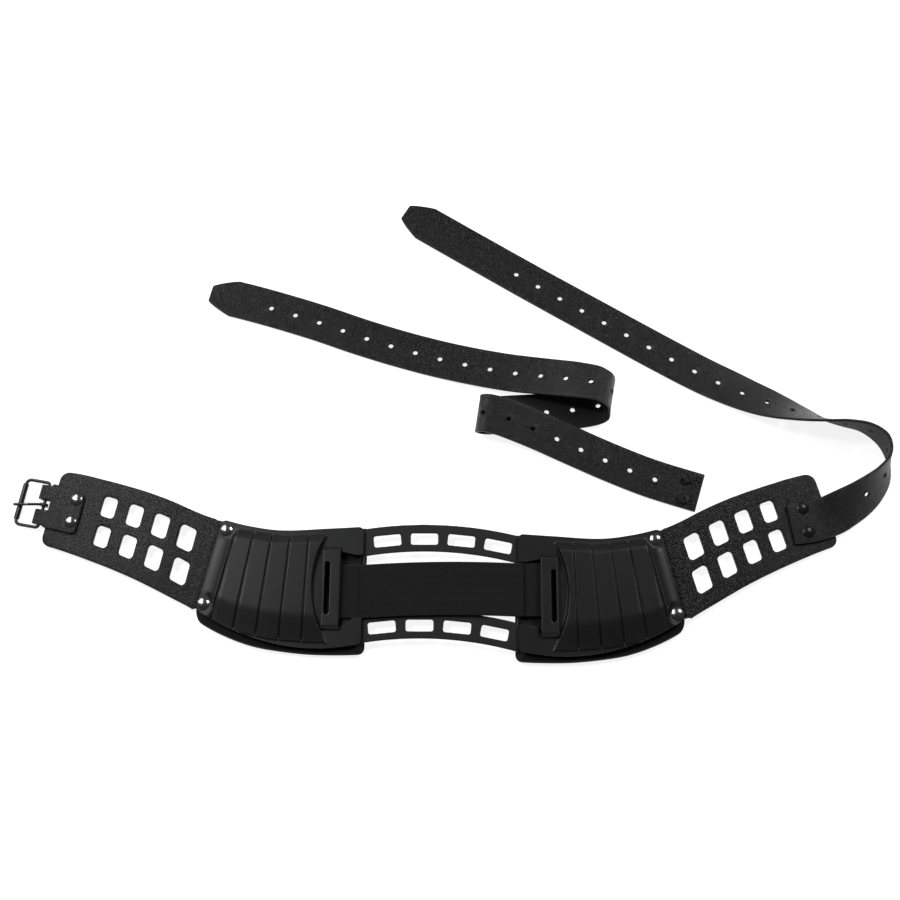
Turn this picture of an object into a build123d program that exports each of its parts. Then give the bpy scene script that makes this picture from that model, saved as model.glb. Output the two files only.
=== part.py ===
# Leather and moulded-plastic waist belt: two ribbed back plates on a flexible frame,
# perforated leather side wings, a roller buckle, a riveted strap and a loose extension strap.
# Millimetres. +X along the belt to the wearer's strap side, +Y to the belt's upper edge,
# +Z away from the body. The origin is the middle of the webbing bay, on the resting plane.
from build123d import *
from math import atan2, cos, degrees, radians, sin, sqrt
import os

os.makedirs("parts", exist_ok=True)

# layout of the two halves
half_drop = 2.8          # each half stands this far above or below the middle line
half_tilt = -0.47        # turn of both halves in the plane of the belt
frame_tilt = -2.9        # turn of the middle frame, which spans the step between the halves
clearance = 0.3          # air between pieces of different bodies
shaft_clearance = 0.08   # radial air of a turning fit

# levels, measured up from the resting plane
pad_thick = 8.0
frame_bottom = pad_thick
frame_thick = 2.5
wing_thick = 3.2
wing_bottom = pad_thick
flange_bottom = wing_bottom + wing_thick
flange_thick = 3.0
plateau_rise = 7.8
plateau_top = flange_bottom + plateau_rise
shell_wall = 3.0

# middle frame
frame_half_length = 72.6
frame_reach = 80.0
bar_arc_radius = 350.0
upper_bar_crest = 45.0
lower_bar_crest = -36.7
bar_above_windows = 13.8
bar_below_windows = 12.0
frame_end_strip = 1.5
window_pitch = 34.8
window_length = 25.5
window_height = 10.8
window_round = 2.0

# hinge between the frame and a plate, under the plate's arm
plate_hinge_u = 73.6
plate_hinge_gap = 0.9
plate_hinge_z = frame_bottom + frame_thick / 2

# plates
plate_inner_u = 72.4
plate_corner_top = (206.0, 59.0)
plate_corner_bottom = (225.5, -27.0)
plate_outer_round = 5.0
plate_top_edge = ((plate_inner_u, 52.8), (105.0, 50.8), (148.0, 48.7), (180.0, 52.6))
plate_low_edge = ((plate_inner_u, -57.2), (110.0, -61.2), (150.0, -57.7), (191.5, -44.8))
bay_depth_u = 108.4
groove_count = 5
groove_top_u = 191.5
groove_top_pitch = 17.0
groove_bottom_u = 211.0
groove_bottom_pitch = 21.0
groove_width = 1.3
groove_depth = 1.5
plateau_top_edge = 35.0
plateau_bottom_edge = -30.0
plateau_shoulder = 6.0

# slot bars and webbing
bar_inner_u = 93.0
bar_outer_u = 109.2
bar_top_v = 33.0
bar_bottom_v = -45.5
bar_foot = 4.5
bar_slope = 4.0
bar_thick = 2.9
bar_under = plateau_top - bar_thick
bar_notch = 0.7
slot_u = 104.8
slot_width = 4.6
slot_length = 49.0
slot_centre_v = -6.5
pin_u = 98.5
pin_radius = 1.2
pin_rise = 1.3
pin_z = flange_bottom + pin_rise
pin_grip = 3.0
webbing_thick = 1.5
webbing_width = 50.0
webbing_centres = {-1: -6.2, 1: 0.0}
webbing_end_u = 70.0
webbing_loop_start_u = 76.0
webbing_loop_flat_u = 91.0

# tabs that carry the frame under each plate's arms
tab_inner_u = 74.7
tab_outer_u = 91.0
tab_spans = ((28.5, 50.5), (-55.0, -33.0))
tab_round = 3.0
frame_screw_places = ((84.0, 40.0), (84.0, -44.0))
screw_radius = 1.5
screw_head_radius = 3.2
screw_head_thick = 1.5
screw_bite = 1.6
screw_socket_radius = 1.2

# back pads
pad_inner_u = 69.5
pad_inner_round = 5.0
pad_bevel_run = 5.5
pad_bevel_drop = 4.2
pad_pocket_air = 0.4
pad_edge_out = 1.1
pad_edge_end = 1.012
pad_top_edge = ((pad_inner_u, 53.5), (105.0, 51.5), (148.0, 49.4), (180.0, 53.2))
pad_low_edge = (
    (pad_inner_u, -65.6),
    (90.0, -66.5),
    (120.0, -66.2),
    (150.0, -63.2),
    (175.0, -58.5),
    (200.0, -49.5),
    (222.0, -38.0),
    (230.5, -27.6),
)

# wings
wing_hinge_out = 1.9
wing_hinge_gap = 1.0
wing_start_gap = 3.0
wing_turn = 2.1
wing_droop = {-1: 1.7, 1: 2.6}
wing_root_u = 186.0
wing_corner_round = 9.0
wing_top_edge = (
    (223.0, 64.5),
    (246.0, 75.5),
    (270.0, 86.0),
    (295.0, 95.0),
    (320.0, 102.7),
    (345.0, 109.5),
    (360.5, 112.0),
)
wing_low_edge = (
    (235.0, -23.0),
    (248.5, -15.6),
    (279.0, 0.8),
    (310.0, 15.5),
    (341.0, 28.3),
    (364.5, 37.0),
    (377.5, 41.0),
)
wing_window_columns = 4
wing_window_pitch = 25.0
wing_window_rows = (42.5, 10.8)
wing_window_row_u = (238.7, 243.9)
wing_window_climbs = (13.2, 14.3)
wing_window_bend = -0.8
wing_window_lean = 13.5
wing_window_width = 16.2
wing_window_width_step = -0.9
wing_window_height = 22.2
wing_window_height_step = -0.9
wing_window_round = 3.3

# rivets
rivet_head_radius = 5.7
rivet_head_height = 2.2
rivet_rim = 0.5
rivet_shank_radius = 2.0
rivet_cap_radius = 5.0
rivet_cap_thick = 0.9
plate_rivet_places = ((201.7, 48.5), (219.0, -21.3))
strap_rivet_places = ((345.3, 76.7), (348.4, 53.7))

# buckle, in the plane of its heel bar
heel_place = (376.5, 79.5)
buckle_turn = 12.0
chape_thick = 2.6
chape_width = 43.0
chape_fold_width = 38.4
chape_end_width = 39.6
chape_length = 38.0
chape_end_shift = 3.7
chape_round = 5.0
chape_notch = 4.0
chape_slack = 2.5          # the fold stands this far clear of the heel bar
chape_rivet_back = 30.7
chape_rivet_shift = 1.15
chape_rivet_spacing = 22.0
wire_radius = 1.6
buckle_reach = 22.5
buckle_height = 44.4
buckle_heel_round = 2.6
buckle_toe_round = 4.5
roller_radius = 2.6
roller_length = 35.0
tongue_radius = 1.4
tongue_length = 28.0
tongue_skew = 10.0
tongue_eye_radius = 4.1
tongue_slot_width = 10.0
tongue_slot_depth = 6.5

# straps: half the width and thickness give how each one lies on the resting plane
strap_width = 39.0
strap_thick = 2.8
strap_tip_length = 24.0
strap_ground_air = 0.1
strap_steps = 3
flat_enough = 0.97
strap_hole_radius = 2.4
strap_hole_pitch = 25.4
long_strap_first_hole = 133.0
extension_first_hole = 64.0
post_radius = 2.4
post_head_radius = 5.0
post_head_thick = 1.5
post_back = 14.5
post_spacing = 21.0
post_length = 5.6
screw_thread_depth = 3.0
screw_slot_width = 1.2
screw_slot_depth = 0.8
screw_slot_turn = 35.0
strap_seat_air = 0.5
strap_rivet_seat = wing_bottom + wing_thick + strap_thick + strap_seat_air
post_air = 0.05

# route of the long strap from its root on the right wing to its tip:
# x, y, height of the lower edge, direction across the strap, lean of its inner edge upwards
long_strap_route = (
    (331, 59.5, wing_bottom - 2.0, 97, 0),
    (347, 61.8, wing_bottom - 2.7, 99, 0),
    (366, 67, wing_bottom - 3.6, 105, 3),
    (382, 74.5, 3.2, 116, 20),
    (397, 83, 0.7, 127, 33),
    (411, 94, 0.4, 145, 45),
    (421, 106, 0.3, 163, 58),
    (427, 122, 0.3, 183, 76),
    (423, 140, 0.3, 213, 84),
    (408, 152.5, 0.3, 243, 82),
    (389, 157.5, 0.3, 257, 78),
    (370, 161, 0.3, 256, 68),
    (349, 167.5, 0.3, 250, 50),
    (328, 176, 0.3, 246, 32),
    (306, 186.5, 0.3, 243, 17),
    (282, 199, 0.3, 240, 7),
    (253, 214.5, 0.3, 239, 2),
    (207, 241.5, 0.3, 239, 0),
    (148, 277, 0.3, 239, 0),
    (89, 312.7, 0.3, 239, 0),
    (40, 343, 0.3, 238, 0),
    (0, 368, 0.3, 238, 0),
    (-37, 391, 0.3, 238, 0),
)

# route of the extension strap from its tip, over the standing curl and the tight fold
extension_route = (
    (-232, 300, 0.3, 74, 0),
    (-199, 292, 0.3, 75, 0),
    (-161, 281, 0.3, 73, 0),
    (-121, 268, 0.3, 70, 0),
    (-81, 253.5, 0.3, 69, 0),
    (-41, 240.5, 0.3, 71, 0),
    (-1, 229, 1.0, 73, 0),
    (38, 219.5, 3.0, 76, 0),
    (70, 212.5, 6.5, 79, 0),
    (104, 206, 12.0, 81, -4),
    (134, 199, 20.5, 80, -9),
    (154, 193, 23.5, 79, -15),
    (165, 188, 12.5, 78, -17),
    (161, 182, 0.8, 80, -12),
    (142, 177.5, 0.3, 84, -3),
    (105, 174, 0.3, 89, 0),
    (62, 171.5, 0.3, 90, 0),
    (45, 170.5, 1.4, 86, 0),
    (37, 170, 8.0, 83, 0),
    (45, 168.5, 14.6, 80, 0),
    (62, 164, 13.6, 74, 0),
    (94, 152.5, 8.0, 69, 0),
    (130, 137, 3.6, 67, 0),
    (165, 121.5, 2.0, 67, 0),
    (203, 106, 1.8, 70, 0),
    (248, 91.5, 1.8, 74, 0),
)


def half_plane(sign, height=0.0):
    """Plane of one half of the belt; its u runs outwards along sign times local x."""
    tilt = radians(half_tilt)
    return Plane(origin=(0, -sign * half_drop, height), x_dir=(cos(tilt), sin(tilt), 0), z_dir=(0, 0, 1))


def at(sign, *points):
    """Points given as (outwards, up) in one half's own coordinates."""
    return [(sign * u, v) for u, v in points]


edge_u = plate_corner_bottom[0] - plate_corner_top[0]
edge_v = plate_corner_bottom[1] - plate_corner_top[1]
edge_length = sqrt(edge_u**2 + edge_v**2)
out_u = -edge_v / edge_length
out_v = edge_u / edge_length


def beside_edge(share, out):
    """Point beside the plate's outer edge: share 0 is the top corner, 1 the bottom one."""
    u = plate_corner_top[0] + share * edge_u + out * out_u
    v = plate_corner_top[1] + share * edge_v + out * out_v
    return (u, v)


def wing_hinge_plane(sign):
    """Plane on the wing's hinge line: x outwards, y along the hinge, z up."""
    half = half_plane(sign, wing_bottom + wing_thick / 2)
    u, v = beside_edge(0.5, wing_hinge_out)
    middle = half.from_local_coords((sign * u, v, 0))
    outwards = half.from_local_coords((sign * (u + out_u), v + out_v, 0)) - middle
    return Plane(origin=middle, x_dir=outwards, z_dir=(0, 0, 1))


def wing_plane(sign, height=0.0):
    """The half's plane carried round by the wing's turn and droop about its hinge."""
    hinge = wing_hinge_plane(sign).location
    move = hinge * Rot(0, wing_droop[sign], 0) * Rot(0, 0, wing_turn) * hinge.inverse()
    return Plane(move * half_plane(sign, height).location)


def buckle_plane(height=0.0):
    """Plane in the left wing's middle layer: origin on the heel bar, x outwards, y along it."""
    wing = wing_plane(-1, wing_bottom + wing_thick / 2)
    middle = wing.from_local_coords((-heel_place[0], heel_place[1], 0))
    turn = radians(buckle_turn)
    ahead = wing.from_local_coords((-heel_place[0] - cos(turn), heel_place[1] + sin(turn), 0))
    return Plane(origin=middle, x_dir=ahead - middle, z_dir=wing.z_dir).offset(height)


def shifted(plane, x, y):
    """The same plane with its origin moved to (x, y) in its own coordinates."""
    return Plane(origin=plane.from_local_coords((x, y, 0)), x_dir=plane.x_dir, z_dir=plane.z_dir)


# middle frame: two arched bars joined at their ends, each with four windows
frame_tilt_angle = radians(frame_tilt)
frame_plane = Plane(
    origin=(0, 0, frame_bottom), x_dir=(cos(frame_tilt_angle), sin(frame_tilt_angle), 0), z_dir=(0, 0, 1)
)


def bar_arc(crest, offset, reach):
    """Three points of the arc that lies offset above a bar's line of windows."""
    radius = bar_arc_radius + offset
    middle = crest - bar_arc_radius
    end = middle + sqrt(radius**2 - reach**2)
    return (-reach, end), (0, middle + radius), (reach, end)


def end_block(sign, u, height, thick):
    """Everything beyond a line across one half at distance u from the middle."""
    with BuildSketch(half_plane(sign, height)) as block:
        with Locations((sign * (u + frame_half_length / 2), 0)):
            Rectangle(frame_half_length, 2 * frame_half_length)
    extrude(block.sketch, amount=thick, mode=Mode.SUBTRACT)


with BuildPart() as webbing_bay:
    with BuildSketch(frame_plane):
        with BuildLine():
            upper_inner = ThreePointArc(*bar_arc(upper_bar_crest, -bar_below_windows, frame_reach))
            lower_inner = ThreePointArc(*bar_arc(lower_bar_crest, bar_above_windows, frame_reach))
            Line(upper_inner @ 0, lower_inner @ 0)
            Line(upper_inner @ 1, lower_inner @ 1)
        make_face()
    extrude(amount=frame_thick)
    for sign in (-1, 1):
        end_block(sign, frame_half_length - frame_end_strip, frame_bottom, frame_thick)

with BuildPart() as centre_frame:
    with BuildSketch(frame_plane):
        with BuildLine():
            upper_edge = ThreePointArc(*bar_arc(upper_bar_crest, bar_above_windows, frame_reach))
            lower_edge = ThreePointArc(*bar_arc(lower_bar_crest, -bar_below_windows, frame_reach))
            Line(upper_edge @ 0, lower_edge @ 0)
            Line(upper_edge @ 1, lower_edge @ 1)
        make_face()
        for crest in (upper_bar_crest, lower_bar_crest):
            for column in (-1.5, -0.5, 0.5, 1.5):
                turn = column * window_pitch / bar_arc_radius
                x = bar_arc_radius * sin(turn)
                y = crest - bar_arc_radius + bar_arc_radius * cos(turn)
                with Locations(Location((x, y, 0), (0, 0, -degrees(turn)))):
                    RectangleRounded(window_length, window_height, window_round, mode=Mode.SUBTRACT)
    extrude(amount=frame_thick)
    for sign in (-1, 1):
        end_block(sign, frame_half_length, frame_bottom, frame_thick)
    add(webbing_bay.part, mode=Mode.SUBTRACT)

centre_frame.part.label = "centre_frame"
export_step(centre_frame.part, "parts/centre_frame.step")

# webbing: a straight run of two layers over the bay, and one loop round each anchor pin
webbing_low = pin_z - webbing_thick
with BuildPart() as webbing:
    with BuildSketch(Plane.XY.offset(webbing_low)):
        with BuildLine():
            low = ThreePointArc(
                (-webbing_end_u, -webbing_width / 2 - 2.0),
                (0, -webbing_width / 2 + 2.0),
                (webbing_end_u, -webbing_width / 2 - 3.5),
            )
            high = ThreePointArc(
                (-webbing_end_u, webbing_width / 2 - 2.0),
                (0, webbing_width / 2 + 1.0),
                (webbing_end_u, webbing_width / 2 - 3.5),
            )
            Line(low @ 0, high @ 0)
            Line(low @ 1, high @ 1)
        make_face()
    extrude(amount=2 * webbing_thick)

webbing.part.label = "webbing"
export_step(webbing.part, "parts/webbing.step")


def plate_outline(sign):
    """Outline of a plate from its bay to its outer edge, drawn inside a sketch."""
    with BuildLine() as outline:
        upper = Spline(*at(sign, *plate_top_edge, plate_corner_top))
        lower = Spline(*at(sign, *plate_low_edge, plate_corner_bottom))
        Line(upper @ 0, lower @ 0)
        Line(upper @ 1, lower @ 1)
    make_face(outline.edges())


def plateau_outline(sign, top_v, bottom_v, outer, inner):
    """Outline of the ribbed plateau between the lens-shaped recess and the first groove."""
    top_outer = groove_top_u + outer
    bottom_outer = groove_bottom_u + outer
    with BuildLine() as outline:
        lens = ThreePointArc(*at(sign, (105.5 + inner, top_v), (117.0 + inner, 1.0), (103.0 + inner, bottom_v)))
        upper = ThreePointArc(
            lens @ 0, *at(sign, (150.0, top_v - 2.0), (top_outer - 0.12 * top_v, top_v + 4.5))
        )
        lower = ThreePointArc(
            lens @ 1, *at(sign, (158.0, bottom_v + 2.5), (bottom_outer - 0.24 * (bottom_v + 45), bottom_v + 16.0))
        )
        Line(upper @ 1, lower @ 1)
    make_face(outline.edges())


def plateau(sign, shrink, base, mode=Mode.ADD):
    """The ribbed plateau, drawn in by shrink on its top and on every side."""
    with BuildSketch(half_plane(sign, base)) as foot:
        plateau_outline(sign, 45.5 - shrink, -57.0 + shrink, 4.0 - 1.5 * shrink, shrink)
    with BuildSketch(half_plane(sign, plateau_top - shrink)) as crown:
        plateau_outline(
            sign,
            plateau_top_edge - shrink,
            plateau_bottom_edge + shrink,
            -1.5 - 1.5 * shrink,
            shrink + 1.0,
        )
    loft([foot.sketch, crown.sketch], ruled=True, mode=mode)


def holes(plane, places, sign, depth, radius):
    """Round holes cut down through the current part at a half's places."""
    with BuildSketch(plane) as rounds:
        with Locations(*at(sign, *places)):
            Circle(radius)
    extrude(rounds.sketch, amount=depth, mode=Mode.SUBTRACT)


def discs(plane, places, sign, thick, radius):
    """Round discs added to the current part at a half's places."""
    with BuildSketch(plane) as rounds:
        with Locations(*at(sign, *places)):
            Circle(radius)
    extrude(rounds.sketch, amount=thick)


def rivets(plane, places, sign, shank):
    """Domed rivets whose heads stand on a plane and whose shanks run down from it."""
    rise = rivet_head_height - rivet_rim
    sphere = (rivet_head_radius**2 + rise**2) / (2 * rise)
    for place in places:
        spot = shifted(plane, *at(sign, place)[0])
        with BuildSketch(Plane(origin=spot.origin, x_dir=spot.x_dir, z_dir=-spot.y_dir)) as half_section:
            with BuildLine() as dome:
                Polyline(
                    (0, rivet_head_height),
                    (0, -shank),
                    (rivet_shank_radius, -shank),
                    (rivet_shank_radius, 0),
                    (rivet_head_radius, 0),
                    (rivet_head_radius, rivet_rim),
                )
                RadiusArc((rivet_head_radius, rivet_rim), (0, rivet_head_height), -sphere)
            make_face(dome.edges())
        revolve(half_section.sketch, axis=Axis(spot.origin, spot.z_dir))


def caps(plane, places, sign):
    """Flat rivet caps under a plane, each with a blind hole that grips its shank."""
    discs(plane, places, sign, -rivet_cap_thick, rivet_cap_radius)
    holes(plane, places, sign, -rivet_cap_thick / 2, rivet_shank_radius)


flange_top = flange_bottom + flange_thick
chape_rivet_places = [(-chape_rivet_back, chape_rivet_shift + step * chape_rivet_spacing / 2) for step in (-1, 1)]
bay_top_v = bar_top_v - bar_foot
bay_bottom_v = bar_bottom_v + bar_foot

for side, sign in (("left", -1), ("right", 1)):
    top_half = half_plane(sign, flange_bottom)
    with BuildPart() as grooves:
        for groove in range(groove_count):
            top_u = groove_top_u - groove * groove_top_pitch
            bottom_u = groove_bottom_u - groove * groove_bottom_pitch
            top_v = 51.0 - 1.2 * groove
            bottom_v = -36.0 - 7.0 * groove + 0.3 * groove**2
            run = sqrt((bottom_u - top_u) ** 2 + (bottom_v - top_v) ** 2) + 6.0
            lean = sign * degrees(atan2(bottom_u - top_u, top_v - bottom_v))
            with BuildSketch(half_plane(sign, flange_top)):
                with Locations(Location((sign * (top_u + bottom_u) / 2, (top_v + bottom_v) / 2, 0), (0, 0, lean))):
                    Rectangle(groove_width, run)
            extrude(amount=plateau_top - flange_top + 1.0)
        plateau(sign, groove_depth, flange_top - 0.5, mode=Mode.SUBTRACT)

    with BuildPart() as rib_plate:
        with BuildSketch(top_half) as flange_face:
            plate_outline(sign)
            outer_corners = flange_face.vertices().sort_by(Axis((0, 0, 0), (sign, 0, 0)))[-2:]
            fillet(outer_corners, plate_outer_round)
        extrude(amount=flange_thick)
        plateau(sign, 0.0, flange_top - 0.2)
        plateau(sign, shell_wall, flange_bottom, mode=Mode.SUBTRACT)
        with BuildSketch(top_half):
            with BuildLine() as bay:
                Polyline(
                    *at(
                        sign,
                        (plate_inner_u - 1, 26.4),
                        (79.0, 25.6),
                        (90.0, bay_top_v),
                        (bay_depth_u, bay_top_v),
                        (bay_depth_u, bay_bottom_v),
                        (90.0, bay_bottom_v),
                        (79.0, -32.0),
                        (plate_inner_u - 1, -33.0),
                    ),
                    close=True,
                )
            make_face(bay.edges())
        extrude(amount=flange_thick, mode=Mode.SUBTRACT)
        add(grooves.part, mode=Mode.SUBTRACT)
        with BuildSketch(half_plane(sign, flange_top)):
            with Locations((sign * (bar_inner_u + bar_outer_u) / 2, (bar_top_v + bar_bottom_v) / 2)):
                Rectangle(bar_outer_u - bar_inner_u, bar_top_v - bar_bottom_v)
        extrude(amount=plateau_top - flange_top, mode=Mode.SUBTRACT)
        holes(top_half, plate_rivet_places, sign, flange_thick, rivet_shank_radius)
        holes(top_half, frame_screw_places, sign, screw_bite, screw_radius)
        # the anchor pin snaps up into a groove under each arm
        with BuildSketch(top_half):
            with Locations((sign * pin_u, (bay_top_v + bay_bottom_v) / 2)):
                Rectangle(2 * pin_radius, bay_top_v - bay_bottom_v + 2 * pin_grip)
        extrude(amount=pin_z - flange_bottom, mode=Mode.SUBTRACT)
        pin_start = half_plane(sign, pin_z).from_local_coords((sign * pin_u, bay_bottom_v - pin_grip, 0))
        pin_plane = Plane(origin=pin_start, x_dir=half_plane(sign).x_dir, z_dir=half_plane(sign).y_dir)
        pin_length = bay_top_v - bay_bottom_v + 2 * pin_grip
        with BuildSketch(pin_plane):
            Circle(pin_radius)
        extrude(amount=pin_length, mode=Mode.SUBTRACT)
    rib_plate.part.label = f"{side}_rib_plate"
    export_step(rib_plate.part, f"parts/{side}_rib_plate.step")

    with BuildPart() as webbing_pin:
        with BuildSketch(pin_plane):
            Circle(pin_radius)
        extrude(amount=pin_length)
    webbing_pin.part.label = f"{side}_webbing_pin"
    export_step(webbing_pin.part, f"parts/{side}_webbing_pin.step")

    # bar that bridges the bay, with the accessory slot beside it
    with BuildPart() as slot_bar:
        bar_start = half_plane(sign).from_local_coords((sign * bar_inner_u, 0, 0))
        with BuildSketch(Plane(origin=bar_start, x_dir=half_plane(sign).y_dir, z_dir=sign * half_plane(sign).x_dir)):
            with BuildLine() as bridge:
                Polyline(
                    (bar_bottom_v, sign * flange_top),
                    (bar_bottom_v + bar_slope, sign * plateau_top),
                    (bar_top_v - bar_slope, sign * plateau_top),
                    (bar_top_v, sign * flange_top),
                    (bar_top_v - bar_foot, sign * flange_top),
                    (bar_top_v - bar_foot - bar_slope, sign * bar_under),
                    (bar_bottom_v + bar_foot + bar_slope, sign * bar_under),
                    (bar_bottom_v + bar_foot, sign * flange_top),
                    close=True,
                )
            make_face(bridge.edges())
        extrude(amount=bar_outer_u - bar_inner_u)
        with BuildSketch(half_plane(sign, bar_under)):
            with Locations((sign * slot_u, slot_centre_v)):
                SlotOverall(slot_length, slot_width, rotation=90)
        extrude(amount=plateau_top - bar_under, mode=Mode.SUBTRACT)
        with BuildSketch(half_plane(sign, plateau_top)):
            with Locations((sign * (bar_inner_u + slot_u) / 2, slot_centre_v)):
                Rectangle(slot_u - bar_inner_u, bar_notch)
        extrude(amount=-bar_notch, mode=Mode.SUBTRACT)
    slot_bar.part.label = f"{side}_slot_bar"
    export_step(slot_bar.part, f"parts/{side}_slot_bar.step")

    # webbing loop round the pin
    loop_low = pin_z - webbing_thick if sign < 0 else pin_z - 2 * webbing_thick
    loop_radius = pin_radius + shaft_clearance + webbing_thick
    loop_start = half_plane(sign).from_local_coords((0, webbing_centres[sign] - webbing_width / 2, 0))
    with BuildPart() as webbing_loop:
        with BuildSketch(Plane(origin=loop_start, x_dir=half_plane(sign).x_dir, z_dir=half_plane(sign).y_dir)):
            with BuildLine() as loop:
                Polyline(
                    (sign * webbing_loop_start_u, -loop_low),
                    (sign * webbing_loop_flat_u, -loop_low),
                    (sign * (pin_u - 1.0), loop_radius * 0.93 - pin_z),
                    (sign * (pin_u - 1.0), -loop_radius * 0.93 - pin_z),
                    (sign * webbing_loop_flat_u, -loop_low - 2 * webbing_thick),
                    (sign * webbing_loop_start_u, -loop_low - 2 * webbing_thick),
                    close=True,
                )
            make_face(loop.edges())
            with Locations((sign * pin_u, -pin_z)):
                Circle(loop_radius)
                Circle(pin_radius + shaft_clearance, mode=Mode.SUBTRACT)
        extrude(amount=webbing_width)
    webbing_loop.part.label = f"{side}_webbing_loop"
    export_step(webbing_loop.part, f"parts/{side}_webbing_loop.step")

    # tabs and their screws
    with BuildPart() as frame_tabs:
        with BuildSketch(half_plane(sign, frame_bottom)):
            for low, high in tab_spans:
                with Locations((sign * (tab_inner_u + tab_outer_u) / 2, (low + high) / 2)):
                    RectangleRounded(tab_outer_u - tab_inner_u, high - low, tab_round)
        extrude(amount=flange_bottom - frame_bottom)
        holes(half_plane(sign, frame_bottom), frame_screw_places, sign, flange_bottom - frame_bottom, screw_radius)
    frame_tabs.part.label = f"{side}_frame_tabs"
    export_step(frame_tabs.part, f"parts/{side}_frame_tabs.step")

    with BuildPart() as frame_screws:
        head_plane = half_plane(sign, frame_bottom)
        discs(head_plane, frame_screw_places, sign, -screw_head_thick, screw_head_radius)
        discs(head_plane, frame_screw_places, sign, flange_bottom - frame_bottom + screw_bite, screw_radius)
        with BuildSketch(head_plane.offset(-screw_head_thick)):
            with Locations(*at(sign, *frame_screw_places)):
                RegularPolygon(screw_socket_radius, 6)
        extrude(amount=screw_head_thick / 2, mode=Mode.SUBTRACT)
    frame_screws.part.label = f"{side}_frame_screws"
    export_step(frame_screws.part, f"parts/{side}_frame_screws.step")

    # back pad, bevelled under the frame's hinge and pocketed for the screws and rivet caps
    with BuildPart() as back_pad:
        with BuildSketch(half_plane(sign)):
            edge_top = beside_edge(0.0, pad_edge_out)
            edge_low = beside_edge(pad_edge_end, pad_edge_out)
            with BuildLine() as pad:
                upper = Spline(*at(sign, *pad_top_edge, edge_top))
                lower = Spline(*at(sign, *pad_low_edge))
                Line(upper @ 0, lower @ 0)
                Polyline(upper @ 1, at(sign, edge_low)[0], lower @ 1)
            make_face(pad.edges())
        extrude(amount=pad_thick)
        inner_edges = back_pad.edges().filter_by(Axis.Z).group_by(Axis.X)[-1 if sign < 0 else 0]
        fillet(inner_edges.sort_by(Axis.Y)[0], pad_inner_round)
        bevel_start = half_plane(sign).from_local_coords((0, -90.0, 0))
        with BuildSketch(Plane(origin=bevel_start, x_dir=half_plane(sign).x_dir, z_dir=half_plane(sign).y_dir)):
            with BuildLine() as bevel:
                Polyline(
                    (sign * (pad_inner_u - 1.0), -pad_thick - 1.0),
                    (sign * (pad_inner_u + pad_bevel_run), -pad_thick - 1.0),
                    (sign * (pad_inner_u + pad_bevel_run), -pad_thick),
                    (sign * (pad_inner_u - 1.0), pad_bevel_drop - pad_thick),
                    close=True,
                )
            make_face(bevel.edges())
        extrude(amount=180.0, mode=Mode.SUBTRACT)
        pad_top = half_plane(sign, pad_thick)
        holes(
            pad_top, frame_screw_places, sign, -screw_head_thick - pad_pocket_air, screw_head_radius + pad_pocket_air
        )
        holes(pad_top, plate_rivet_places, sign, -rivet_cap_thick - pad_pocket_air, rivet_cap_radius + pad_pocket_air)
    back_pad.part.label = f"{side}_back_pad"
    export_step(back_pad.part, f"parts/{side}_back_pad.step")

    # leather root under the plate, and the wing beyond the hinge line
    with BuildPart() as wing_root:
        with BuildSketch(half_plane(sign, wing_bottom)):
            root_top = beside_edge(0.01, wing_hinge_out - wing_hinge_gap)
            root_low = beside_edge(0.98, wing_hinge_out - wing_hinge_gap)
            with BuildLine() as root:
                Polyline(
                    *at(sign, (wing_root_u, 52.0), root_top, root_low, (wing_root_u, -44.5)),
                    close=True,
                )
            make_face(root.edges())
        extrude(amount=wing_thick)
        holes(half_plane(sign, wing_bottom), plate_rivet_places, sign, wing_thick, rivet_shank_radius)
    wing_root.part.label = f"{side}_wing_root"
    export_step(wing_root.part, f"parts/{side}_wing_root.step")

    with BuildPart() as plate_rivets:
        rivets(half_plane(sign, flange_top), plate_rivet_places, sign, flange_thick + wing_thick + rivet_cap_thick / 2)
    plate_rivets.part.label = f"{side}_plate_rivets"
    export_step(plate_rivets.part, f"parts/{side}_plate_rivets.step")

    with BuildPart() as plate_rivet_caps:
        caps(half_plane(sign, wing_bottom), plate_rivet_places, sign)
    plate_rivet_caps.part.label = f"{side}_plate_rivet_caps"
    export_step(plate_rivet_caps.part, f"parts/{side}_plate_rivet_caps.step")

    with BuildPart() as wing:
        with BuildSketch(wing_plane(sign, wing_bottom)) as wing_face:
            start_top = beside_edge(0.0, wing_hinge_out + wing_start_gap)
            start_low = beside_edge(1.0, wing_hinge_out + wing_start_gap)
            with BuildLine() as rim:
                upper = Spline(*at(sign, start_top, *wing_top_edge))
                lower = Spline(*at(sign, start_low, *wing_low_edge))
                Line(upper @ 0, lower @ 0)
                Line(upper @ 1, lower @ 1)
            make_face(rim.edges())
            far_corners = wing_face.vertices().sort_by(Axis((0, 0, 0), (sign, 0, 0)))[-2:]
            fillet(far_corners, wing_corner_round)
            for row_u, row_v, climb in zip(wing_window_row_u, wing_window_rows, wing_window_climbs):
                for column in range(wing_window_columns):
                    u = row_u + column * wing_window_pitch
                    v = row_v + climb * column + wing_window_bend * column**2
                    slope = atan2(climb + wing_window_bend * 2 * column, wing_window_pitch)
                    lean = radians(wing_window_lean)
                    wide = (wing_window_width + wing_window_width_step * column) / 2
                    tall = (wing_window_height + wing_window_height_step * column) / 2
                    corners = [
                        (
                            u + i * wide * cos(slope) - j * tall * sin(lean),
                            v + i * wide * sin(slope) + j * tall * cos(lean),
                        )
                        for i, j in ((-1, -1), (1, -1), (1, 1), (-1, 1))
                    ]
                    with BuildSketch(mode=Mode.PRIVATE) as window:
                        Polygon(*at(sign, *corners), align=None)
                        fillet(window.vertices(), wing_window_round)
                    add(window.sketch, mode=Mode.SUBTRACT)
        extrude(amount=wing_thick)
        if sign > 0:
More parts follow.
